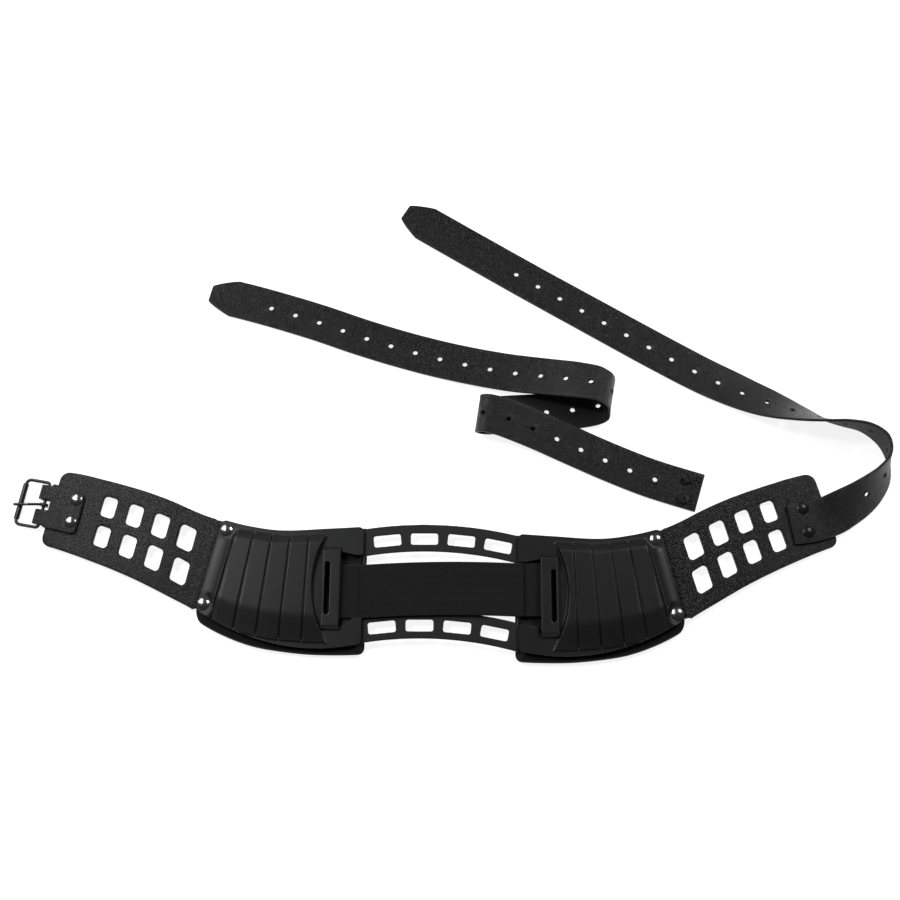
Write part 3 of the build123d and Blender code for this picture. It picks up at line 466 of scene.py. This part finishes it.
def makePlate(side, sign):
    # grid between the upper and lower edges whose columns lean with the grooves
    upper, lower = curveThrough(plate["upper"]), curveThrough(plate["lower"])
    corner = plate["corner"]
    turned = corner * np.array([0, 0.03, 0.12, 0.27, 0.47, 0.72, 1.0])
    arm = np.concatenate([
        plateInner + turned,
        np.linspace(plateInner + corner, 98.0, 8)[1:],
        np.linspace(98.0, plate["bayEnd"], 18)[1:],
    ])
    bayColumns = len(arm) - 1
    inner = np.concatenate([arm, np.linspace(plate["bayEnd"], 121.0, 26)[1:]])
    lean = np.clip((inner - plateInner) / 50.0, 0, 1)
    tops = [inner - 1.2 * lean]
    lows = [inner + 1.2 * lean]
    near = np.array([-2.2, -1.4, -1.0, -0.8, -0.6, -0.4, 0.0, 0.4, 0.6, 0.8, 1.0, 1.4, 2.2])
    for number in reversed(range(plate["grooves"])):
        top, low = grooveLine(number)
        slope = (top[0] - low[0]) / (top[1] - low[1])
        topU, lowU = top[0] + slope * 1.0, low[0] - slope * 8.0
        tops += [np.linspace(tops[-1][-1], topU - 2.2, 9)[1:-1], topU + near]
        lows += [np.linspace(lows[-1][-1], lowU - 2.2, 9)[1:-1], lowU + near]
    topEnd, lowEnd = plateTopCorner[0], plateLowCorner[0]
    tops += [np.linspace(tops[-1][-1], topEnd - corner, 12)[1:-1], topEnd - turned[::-1]]
    lows += [np.linspace(lows[-1][-1], lowEnd - corner, 12)[1:-1], lowEnd - turned[::-1]]
    topU, lowU = np.concatenate(tops), np.concatenate(lows)
    edgeHigh, edgeLow = upper(topU), lower(lowU)
    highV = edgeHigh - cornerCut(topU - plateInner, corner) - cornerCut(topEnd - topU, corner)
    lowV = edgeLow + cornerCut(lowU - plateInner, corner) + cornerCut(lowEnd - lowU, corner)
    bayHigh = np.interp(topU, plate["bayU"], plate["bayHigh"])
    bayLow = np.interp(lowU, plate["bayU"], plate["bayLow"])
    # beyond the bay the row keeps its share of the column's height
    tall = highV - lowV
    kept = (bayLow[bayColumns] - lowV[bayColumns]) / tall[bayColumns]
    bayLow[bayColumns:] = lowV[bayColumns:] + kept * tall[bayColumns:]
    lowRows, bayRows, highRows = 28, 24, 20
    v = np.concatenate([
        lowV + (bayLow - lowV) * np.linspace(0, 1, lowRows, endpoint=False)[:, None],
        bayLow + (bayHigh - bayLow) * np.linspace(0, 1, bayRows, endpoint=False)[:, None],
        bayHigh + (highV - bayHigh) * np.linspace(0, 1, highRows + 1)[:, None],
    ])
    u = lowU + (topU - lowU) * (v - edgeLow) / (edgeHigh - edgeLow)
    keep = np.ones((v.shape[0] - 1, v.shape[1] - 1), bool)
    keep[lowRows:lowRows + bayRows, :bayColumns] = False
    z = plateHeight(u, v)
    top = halfPoint(sign, u, v, z)
    low = halfPoint(sign, u, v, np.full_like(u, plate["bottom"]))
    piece = newPiece(f"{side}_back_plate", *gridShell(top, low, keep), shellPlastic)
    bevelled(piece, 0.8, 3, 60)
    applyModifiers(piece)
    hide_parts(f"{side}_rib_plate")
    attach(piece, f"{side}_back")
    return piece


pad = {
    "upper": [(69.5, 53.5), (105, 51.5), (148, 49.4), (180, 53.2), (207.1, 59.3)],
    "lower": [
        (69.5, -65.6), (90, -66.5), (120, -66.2), (150, -63.2),
        (175, -58.5), (200, -49.5), (222, -38), (228.2, -30.4),
    ],
    "thick": 8.0, "edge": 3.2, "bevelRun": 5.5, "bevelDrop": 4.4,
    "channels": 4, "channelStart": 95.0, "channelPitch": 30.0, "channelDepth": 1.6,
}


def makePad(side, sign):
    # cushion: flat in the middle, its top and bottom meet at a rounded edge; pressed channels below
    upper, lower = curveThrough(pad["upper"]), curveThrough(pad["lower"])
    near = np.array([0, 0.1, 0.35, 0.8, 1.4, 2.2, 3.2])
    long, wide = 150.0, 115.0
    innerU, topEnd, lowEnd = pad["upper"][0][0], pad["upper"][-1][0], pad["lower"][-1][0]

    def spread(length, count):
        between = np.linspace(near[-1], length - near[-1], count)[1:-1]
        return np.concatenate([near, between, length - near[::-1]])

    across = spread(long, 70) / long
    along = spread(wide, 56) / wide
    topU = innerU + across * (topEnd - innerU)
    lowU = innerU + across * (lowEnd - innerU)
    edgeHigh, edgeLow = upper(topU), lower(lowU)
    lowV = edgeLow + cornerCut(lowU - innerU, 6.0) + cornerCut(lowEnd - lowU, 7.0)
    highV = edgeHigh - cornerCut(topEnd - topU, 5.0) - cornerCut(topU - innerU, 2.0)
    v = lowV + (highV - lowV) * along[:, None]
    u = lowU + (topU - lowU) * (v - edgeLow) / (edgeHigh - edgeLow)
    fromSide = np.minimum(across * long, long - across * long)[None]
    fromEnd = np.minimum(along * wide, wide - along * wide)[:, None]

    def swell(distance):
        return np.sqrt(np.clip(1 - (1 - np.clip(distance / pad["edge"], 0, 1)) ** 2, 0, 1))

    full = swell(fromSide) * swell(fromEnd)
    half = pad["thick"] / 2
    high = half + half * full
    slope = pad["thick"] - pad["bevelDrop"] + (u - innerU) * pad["bevelDrop"] / pad["bevelRun"]
    high = np.minimum(high, np.maximum(slope, half))
    low = half - half * full
    for channel in range(pad["channels"]):
        line = pad["channelStart"] + channel * pad["channelPitch"] - 0.16 * v
        groove = np.exp(-(((u - line) / 1.6) ** 2)) * smoothStep(fromEnd / 14) * full
        low = low + pad["channelDepth"] * groove
    keep = np.ones((u.shape[0] - 1, u.shape[1] - 1), bool)
    top, under = halfPoint(sign, u, v, high), halfPoint(sign, u, v, low)
    piece = newPiece(f"{side}_pad", *gridShell(top, under, keep), padFoam, 2e-5)
    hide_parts(f"{side}_back_pad")
    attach(piece, f"{side}_back")
    return piece


strap = {
    "width": 39.0, "thick": 2.8, "tip": 24.0, "pitch": 25.4, "hole": 2.4, "cell": 6.0,
    "step": 4.0, "edge": 1.1, "rim": 0.22,
}

longRoute = {
    "firstHole": 133.0, "plainEnd": 66.0, "tipAtEnd": True,
    "points": [
        (331, 59.5, 6.0, 97, 0), (347, 61.8, 5.3, 99, 0), (366, 67, 4.4, 105, 3),
        (382, 74.5, 3.2, 116, 20), (397, 83, 0.7, 127, 33), (411, 94, 0.4, 145, 45),
        (421, 106, 0.3, 163, 58), (427, 122, 0.3, 183, 76), (423, 140, 0.3, 213, 84),
        (408, 152.5, 0.3, 243, 82), (389, 157.5, 0.3, 257, 78), (370, 161, 0.3, 256, 68),
        (349, 167.5, 0.3, 250, 50), (328, 176, 0.3, 246, 32), (306, 186.5, 0.3, 243, 17),
        (282, 199, 0.3, 240, 7), (253, 214.5, 0.3, 239, 2), (207, 241.5, 0.3, 239, 0),
        (148, 277, 0.3, 239, 0), (89, 312.7, 0.3, 239, 0), (40, 343, 0.3, 238, 0),
        (0, 368, 0.3, 238, 0), (-37, 391, 0.3, 238, 0),
    ],
}

extensionRoute = {
    "firstHole": 64.0, "plainEnd": 26.0, "tipAtEnd": False,
    "points": [
        (-232, 300, 0.3, 74, 0), (-199, 292, 0.3, 75, 0), (-161, 281, 0.3, 73, 0),
        (-121, 268, 0.3, 70, 0), (-81, 253.5, 0.3, 69, 0), (-41, 240.5, 0.3, 71, 0),
        (-1, 229, 1.0, 73, 0), (38, 219.5, 3.0, 76, 0), (70, 212.5, 6.5, 79, 0),
        (104, 206, 12.0, 81, -4), (134, 199, 20.5, 80, -9), (154, 193, 23.5, 79, -15),
        (165, 188, 12.5, 78, -17), (161, 182, 0.8, 80, -12), (142, 177.5, 0.3, 84, -3),
        (105, 174, 0.3, 89, 0), (62, 171.5, 0.3, 90, 0), (45, 170.5, 1.4, 86, 0),
        (37, 170, 8.0, 83, 0), (45, 168.5, 14.6, 80, 0), (62, 164, 13.6, 74, 0),
        (94, 152.5, 8.0, 69, 0), (130, 137, 3.6, 67, 0), (165, 121.5, 2.0, 67, 0),
        (203, 106, 1.8, 70, 0), (248, 91.5, 1.8, 74, 0),
    ],
}


def strapPath(route, fineness=24):
    # Catmull-Rom stations, each lifted so that the strap's lower edge has the height that it states
    points = np.array([route["points"][0], *route["points"], route["points"][-1]], float)
    t = np.linspace(0, 1, fineness, endpoint=False)[None, :, None]
    a, b, c, d = points[:-3, None], points[1:-2, None], points[2:-1, None], points[3:, None]
    line = 0.5 * (2 * b + (c - a) * t + (2 * a - 5 * b + 4 * c - d) * t**2 + (3 * b - a - 3 * c + d) * t**3)
    line = np.concatenate([line.reshape(-1, 5), points[-1:]])
    across, lean = np.radians(line[:, 3]), np.radians(line[:, 4])
    rise = strap["width"] / 2 * np.abs(np.sin(lean)) + strap["thick"] / 2 * np.cos(lean)
    centre = np.stack([line[:, 0], line[:, 1], line[:, 2] + rise], -1)
    width = np.stack([np.cos(across) * np.cos(lean), np.sin(across) * np.cos(lean), np.sin(lean)], -1)
    ahead = np.gradient(centre, axis=0)
    ahead /= np.linalg.norm(ahead, axis=1)[:, None]
    width -= (width * ahead).sum(1)[:, None] * ahead
    width /= np.linalg.norm(width, axis=1)[:, None]
    face = np.cross(ahead, width)
    gone = np.concatenate([[0], np.cumsum(np.linalg.norm(np.diff(centre, axis=0), axis=1))])
    return gone, centre, width, face


def flatStrap(length, holes):
    # flat strap as (top points, faces) patches: plain runs, and a ring of faces round each hole
    half, cell, edge = strap["width"] / 2, strap["cell"], strap["edge"]
    inner = np.linspace(-cell, cell, 5)
    turning = half - edge + edge * np.array([0.35, 0.65, 0.87, 0.97, 1.0])
    outer = np.concatenate([np.linspace(cell, half - edge, 5), turning])
    rows = np.concatenate([-outer[::-1], inner[1:-1], outer])
    patches = []

    def grid(along, across):
        s, t = np.meshgrid(along, across, indexing="ij")
        index = np.arange(s.size).reshape(s.shape)
        quads = np.stack([index[:-1, :-1], index[1:, :-1], index[1:, 1:], index[:-1, 1:]], -1)
        quads = quads.reshape(-1, 4)
        lift = np.zeros(s.size)
        patches.append((np.stack([s.ravel(), t.ravel(), lift], -1), quads))

    endSteps = np.array([0, 0.1, 0.4, 0.9, 1.6, 2.6])
    starts = [0.0]
    for hole in holes:
        starts += [hole - cell, hole + cell]
    starts.append(length)
    for start, end in zip(starts[::2], starts[1::2]):
        along = np.linspace(start, end, max(2, int((end - start) / strap["step"]) + 1))
        if start == 0.0:
            along = np.concatenate([endSteps, along[along > 3.4]])
        if end == length:
            along = np.concatenate([along[along < length - 3.4], length - endSteps[::-1]])
        grid(along, rows)
    for hole in holes:
        grid(hole + inner, outer)
        grid(hole + inner, -outer[::-1])
        turn = np.radians(np.arange(16) * 22.5)
        square = np.stack([np.cos(turn), np.sin(turn)], -1)
        square = square / np.abs(square).max(1)[:, None]
        square = np.sign(square) * np.where(np.abs(square) > 0.9, 1, np.where(np.abs(square) > 0.2, 0.5, 0))
        circle = np.stack([np.cos(turn), np.sin(turn)], -1)
        radii = np.array([strap["hole"], strap["hole"] + 0.25, strap["hole"] + 0.7, strap["hole"] + 1.3])
        lifts = np.array([-0.45, 0.1, 1.0, 0.0]) * strap["rim"]
        rings = np.concatenate([circle[None] * radii[:, None, None], square[None] * cell])
        height = np.concatenate([np.repeat(lifts[:, None], 16, 1), np.zeros((1, 16))])
        index = np.arange(80).reshape(5, 16)
        after = np.roll(index, -1, axis=1)
        quads = np.stack([index[:-1], index[1:], after[1:], after[:-1]], -1).reshape(-1, 4)
        points = np.concatenate([rings + np.array([hole, 0]), height[..., None]], -1).reshape(-1, 3)
        patches.append((points, quads))
        # wall of the hole, from the top ring to the bottom one
        patches.append(("wall", hole))
    return patches


def makeStrap(name, route, nodes, body):
    # flat strap bent along its path: centre + across * width + height * face
    gone, centre, width, face = strapPath(route)
    length = gone[-1]
    holes = np.arange(route["firstHole"], length - 9.0, strap["pitch"])
    # the riveted root and the screwed end are not punched
    holes = holes[length - holes > route["plainEnd"]]
    holes = np.sort(length - holes if route["tipAtEnd"] else holes)
    points, faces, count = [], [], 0
    halfThick, half, edge = strap["thick"] / 2, strap["width"] / 2, strap["edge"]
    turn = np.radians(np.arange(16) * 22.5)
    for patch in flatStrap(length, list(holes)):
        if isinstance(patch[0], str):
            circle = np.stack([np.cos(turn), np.sin(turn)], -1) * strap["hole"] + np.array([patch[1], 0])
            top = np.concatenate([circle, np.full((16, 1), halfThick - 0.45 * strap["rim"])], -1)
            low = top * np.array([1, 1, -1])
            index = np.arange(16)
            after = np.roll(index, -1)
            quads = np.stack([index, after, after + 16, index + 16], -1)
            points.append(np.concatenate([top, low]))
            faces.append(quads + count)
            count += 32
            continue
        sheet, quads = patch
        s, t, lift = sheet.T
        rounded = np.sqrt(np.clip(1 - np.clip((np.abs(t) - (half - edge)) / edge, 0, 1) ** 2, 0, 1))
        fromEnds = np.minimum(s, length - s)
        cap = np.sqrt(np.clip(1 - (1 - np.clip(fromEnds / 0.9, 0, 1)) ** 2, 0, 1))
        height = halfThick * rounded * cap
        for side in (1, -1):
            points.append(np.stack([s, t, side * (height + (lift if side > 0 else lift * 0.6))], -1))
            faces.append((quads if side > 0 else quads[:, ::-1]) + count)
            count += len(s)
    flat = np.concatenate(points)
    quads = np.concatenate(faces)
    s, t, n = flat.T
    fromTip = length - s if route["tipAtEnd"] else s
    narrow = np.clip(0.40 + 0.60 * np.clip(fromTip / strap["tip"], 0, 1) ** 0.75, 0, 1)
    t = t * narrow
    base = np.stack([np.interp(s, gone, centre[:, i]) for i in range(3)], -1)
    side = np.stack([np.interp(s, gone, width[:, i]) for i in range(3)], -1)
    up = np.stack([np.interp(s, gone, face[:, i]) for i in range(3)], -1)
    # small waves along the strap and a slight twist across it, as hide takes
    wave = 0.18 * np.sin(s / 17.0) + 0.12 * np.sin(s / 7.3 + 1.0) * (t / half)
    n = n + np.where(base[:, 2] > 6.0, wave, wave * 0.3)
    place = (base + side * t[:, None] + up * n[:, None]) * mm
    place[:, 2] = np.maximum(place[:, 2], 0.0001)
    mesh = bpy.data.meshes.new(name)
    mesh.from_pydata(place.tolist(), [], quads.tolist())
    for label, values in (("s", s), ("t", t), ("n", n)):
        attribute = mesh.attributes.new(label, "FLOAT", "POINT")
        attribute.data.foreach_set("value", values.astype(np.float32))
    work = bmesh.new()
    work.from_mesh(mesh)
    bmesh.ops.remove_doubles(work, verts=work.verts, dist=1.2e-5)
    bmesh.ops.recalc_face_normals(work, faces=work.faces)
    work.to_mesh(mesh)
    work.free()
    total = len(mesh.vertices)
    values = {}
    for label in ("s", "t", "n"):
        values[label] = np.empty(total, np.float32)
        mesh.attributes[label].data.foreach_get("value", values[label])
    flesh = mesh.attributes.new("flesh", "FLOAT", "POINT")
    flesh.data.foreach_set("value", (values["n"] < -0.5 * halfThick).astype(np.float32))
    nearHole = np.full(total, 99.0)
    for hole in holes:
        nearHole = np.minimum(nearHole, np.hypot(values["s"] - hole, values["t"]))
    # mask for the painted highlight: the edges of the strap and a ring round each hole
    rim = np.clip((np.abs(values["t"]) - half + 1.6) / 1.4, 0, 1)
    rim = rim + np.clip((4.0 - nearHole) / 1.4, 0, 1) * 0.7
    rimData = mesh.attributes.new("rim", "FLOAT", "POINT")
    rimData.data.foreach_set("value", np.clip(rim, 0, 1).astype(np.float32))
    loops = np.empty(len(mesh.loops), int)
    mesh.loops.foreach_get("vertex_index", loops)
    layer = mesh.uv_layers.new(name="strapMap")
    flatPlace = np.stack([values["s"], values["t"]], -1)[loops] * mm
    layer.data.foreach_set("uv", flatPlace.ravel().astype(np.float32))
    mesh.polygons.foreach_set("use_smooth", np.ones(len(mesh.polygons), bool))
    mesh.materials.append(strapHide)
    piece = bpy.data.objects.new(name, mesh)
    bpy.context.scene.collection.objects.link(piece)
    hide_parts(*nodes)
    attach(piece, body)
    return piece


webbing = {"thick": 1.45, "width": 50.0, "pin": (98.5, 12.5), "pinRound": 1.35, "hingeHeight": 9.25}


def makeWebbing(name, line, middles, sign, nodes=()):
    # woven strip: a flat profile with thin selvedges carried along a line of (x, height)
    line = np.array(line, float)
    gone = np.concatenate([[0], np.cumsum(np.hypot(*np.diff(line, axis=0).T))])
    s = np.linspace(0, gone[-1], max(12, int(gone[-1] / 1.0)))
    x, z = np.interp(s, gone, line[:, 0]), np.interp(s, gone, line[:, 1])
    dx, dz = np.gradient(x), np.gradient(z)
    size = np.hypot(dx, dz)
    half = webbing["width"] / 2
    t = half * np.concatenate([[-1, -0.995, -0.97], np.linspace(-0.94, 0.94, 31), [0.97, 0.995, 1]])
    thin = webbing["thick"] / 2 * np.concatenate([[0.0, 0.6, 0.95], np.ones(31), [0.95, 0.6, 0.0]])
    thin = thin * (1 - 0.06 * np.cos(t / half * math.pi * 6) ** 2)
    bow = 2.2 * (1 - (x / 72.0) ** 2)
    middle = np.interp(x, [-90, 90], middles) + np.where(np.abs(x) < 72, bow, 0)
    points = []
    for face in (1, -1):
        across = middle[:, None] + t[None]
        offset = face * thin[None]
        points.append(np.stack([
            x[:, None] - dz[:, None] / size[:, None] * offset,
            across,
            z[:, None] + dx[:, None] / size[:, None] * offset,
        ], -1) * mm)
    keep = np.ones((len(s) - 1, len(t) - 1), bool)
    vertices, faces = gridShell(points[0], points[1], keep)
    piece = newPiece(name, vertices, faces, wovenBlack, 1e-6)
    mesh = piece.data
    place = np.empty(len(mesh.vertices) * 3)
    mesh.vertices.foreach_get("co", place)
    place = place.reshape(-1, 3)
    loops = np.empty(len(mesh.loops), int)
    mesh.loops.foreach_get("vertex_index", loops)
    layer = mesh.uv_layers.new(name="weave")
    layer.data.foreach_set("uv", place[loops][:, :2].ravel().astype(np.float32))
    if nodes:
        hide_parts(*nodes)
    inner = halfPoint(sign, 69.0, 0.0, webbing["hingeHeight"])
    far = halfPoint(sign, 78.0, 0.0, webbing["hingeHeight"])
    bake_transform(piece)
    return piece


def pinLoop(sign, lowHeight, highHeight, startLow, startHigh):
    # line that comes in at the low height, goes round the pin and leaves at the high height
    u, z = webbing["pin"]
    radius = webbing["pinRound"] + webbing["thick"] / 2
    turn = np.linspace(-0.5 * math.pi, 0.5 * math.pi, 15)
    arc = [(u + radius * math.cos(a), z + radius * math.sin(a)) for a in turn]
    entry, leaving = (u - 6.0, lowHeight), (u - 6.0, highHeight)
    line = [(startLow, lowHeight), entry, *arc, leaving, (startHigh, highHeight)]
    return [(sign * a, b) for a, b in line]


wing = {"voxel": 0.85, "smooth": 3, "bottom": 8.0, "thick": 3.2, "bridge": (0.3, 6.0)}


def hingeBridge(sign):
    # block of hide that joins the root under the plate to the wing beyond the hinge
    edgeTop, edgeLow = np.array(plateTopCorner), np.array(plateLowCorner)
    edge = edgeLow - edgeTop
    out = np.array([-edge[1], edge[0]]) / math.hypot(*edge)
    start, end = wing["bridge"]
    corners = [
        edgeTop + share * edge + reach * out
        for share, reach in ((0.012, start), (0.012, end), (0.985, end), (0.985, start))
    ]
    points = [
        Vector(halfPoint(sign, corner[0], corner[1], z))
        for z in (wing["bottom"], wing["bottom"] + wing["thick"])
        for corner in corners
    ]
    faces = [(0, 1, 2, 3), (7, 6, 5, 4), (0, 4, 5, 1), (1, 5, 6, 2), (2, 6, 7, 3), (3, 7, 4, 0)]
    if sign > 0:
        faces = [face[::-1] for face in faces]
    return points, faces


def makeWing(side, sign):
    piece = softCopy(
        f"{side}_leather_wing", [f"{side}_wing", f"{side}_wing_root"],
        wing["voxel"], wing["smooth"], wingHide, [hingeBridge(sign)],
    )
    mesh = piece.data
    place = np.empty(len(mesh.vertices) * 3)
    mesh.vertices.foreach_get("co", place)
    place = place.reshape(-1, 3)
    # slow waves along the hide, none near the hinge
    u = sign * place[:, 0] / mm
    wave = 0.35 * np.sin(u / 19.0 + 0.6) + 0.2 * np.sin(place[:, 1] / mm / 13.0)
    inside = smoothStep((u - 235) / 25) * smoothStep((372 - u) / 25)
    place[:, 2] += wave * inside * mm * (0.5 if sign > 0 else 1)
    mesh.vertices.foreach_set("co", place.ravel())
    start = halfPoint(sign, 215.0, 16.0, 9.6)
    end = halfPoint(sign, 220.5, 17.2, 9.6)
    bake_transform(piece)
    return piece


for side, sign in (("left", -1), ("right", 1)):
    makePlate(side, sign)
    makePad(side, sign)
    makeWing(side, sign)
    bar = softCopy(f"{side}_raised_bar", [f"{side}_slot_bar"], 0.55, 3, barPlastic)
    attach(bar, f"{side}_back")
    print(side, "half made")

ladder = softCopy("flexible_frame", ["centre_frame"], 0.65, 2, framePlastic)
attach(ladder, "middle")

chape = softCopy("leather_chape", ["buckle_chape"], 0.6, 4, chapeHide)
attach(chape, "left_side")

low, high = 11.75, 13.25
middles = (-5.2, -3.4)
leftLoop = pinLoop(-1, low, high, 0.0, 76.0)
makeWebbing("webbing_lower_left", leftLoop, middles, -1, ["webbing", "left_webbing_loop"])
makeWebbing("webbing_upper_left", [(0.0, high), (-75.6, high)], middles, -1)
rightLow = [(0.0, low), (70.0, low), (80.0, 10.3)]
rightLoop = rightLow + pinLoop(1, 10.3, 11.9, 81.0, 78.0)[1:]
makeWebbing("webbing_lower_right", rightLoop, middles, 1, ["right_webbing_loop"])
makeWebbing("webbing_upper_right", [(0.0, high), (66.0, high), (77.5, 13.4)], middles, 1)
print("webbing made")

makeStrap("long_leather_strap", longRoute, ["long_strap"], "right_side")
makeStrap("extension_leather_strap", extensionRoute, ["extension_strap"], "loose_strap")
print("straps made")

finishes = {
    "frame_tabs": framePlastic, "webbing_pin": plainSteel, "frame_screws": plainSteel,
    "plate_rivets": nickel, "rivet_caps": plainSteel, "chape_rivets": nickel,
    "long_strap_rivets": blackLacquer, "extension_screw": blackLacquer,
    "buckle_frame": buckleSteel, "buckle_roller": buckleSteel, "buckle_tongue": buckleSteel,
}
for name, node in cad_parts.items():
    for part, material in finishes.items():
        if part in name:
            node.data.materials.clear()
            node.data.materials.append(material)
print("finishes set")

studio = {
    "floorDrop": -0.0004, "floor": 0.80, "glow": 0.86, "sky": 0.03,
    "key": 10.0, "side": 7.0, "top": 4.0,
}
floorFinish = Finish("floor", Roughness=0.9, Emission_Color=(1, 1, 1, 1), Emission_Strength=studio["glow"])
floorTone = floorFinish.noise(floorFinish.place(), 3.0)
floorFinish.use(Base_Color=floorFinish.mix(floorTone, grey(studio["floor"]), grey(studio["floor"] + 0.02)))
floorMesh = bpy.data.meshes.new("floor")
corners = [(x, y, studio["floorDrop"]) for x, y in ((-3, -3), (3, -3), (3, 3), (-3, 3))]
floorMesh.from_pydata(corners, [], [(0, 1, 2, 3)])
floorMesh.materials.append(floorFinish.material)
floor = bpy.data.objects.new("floor", floorMesh)
bpy.context.scene.collection.objects.link(floor)

world = bpy.data.worlds.new("studio")
world.use_nodes = True
world.node_tree.nodes["Background"].inputs[0].default_value = (1, 1, 1, 1)
world.node_tree.nodes["Background"].inputs[1].default_value = studio["sky"]
bpy.context.scene.world = world


def softLight(name, place, aim, size, power):
    lamp = bpy.data.lights.new(name, "AREA")
    lamp.shape = "RECTANGLE"
    lamp.size, lamp.size_y = size
    lamp.energy = power
    light = bpy.data.objects.new(name, lamp)
    light.location = place
    light.rotation_euler = (Vector(aim) - Vector(place)).to_track_quat("-Z", "Y").to_euler()
    bpy.context.scene.collection.objects.link(light)


softLight("key", (-1.1, 1.0, 1.1), (-0.1, 0.1, 0), (1.2, 0.8), studio["key"])
softLight("side", (0.9, 0.8, 1.1), (0.1, 0.1, 0), (0.5, 0.4), studio["side"])
softLight("top", (-0.75, 0.45, 1.25), (-0.25, 0.05, 0), (0.25, 0.25), studio["top"])

camera = bpy.data.objects.new("camera", bpy.data.cameras.new("camera"))
camera.data.lens = 50
camera.data.sensor_width = 36
camera.location = (0.0089, -0.2184, 1.159)
camera.rotation_euler = (math.radians(17.0), 0, 0)
bpy.context.scene.collection.objects.link(camera)
bpy.context.scene.camera = camera
bpy.context.scene.view_settings.view_transform = "Standard"
print("studio set")
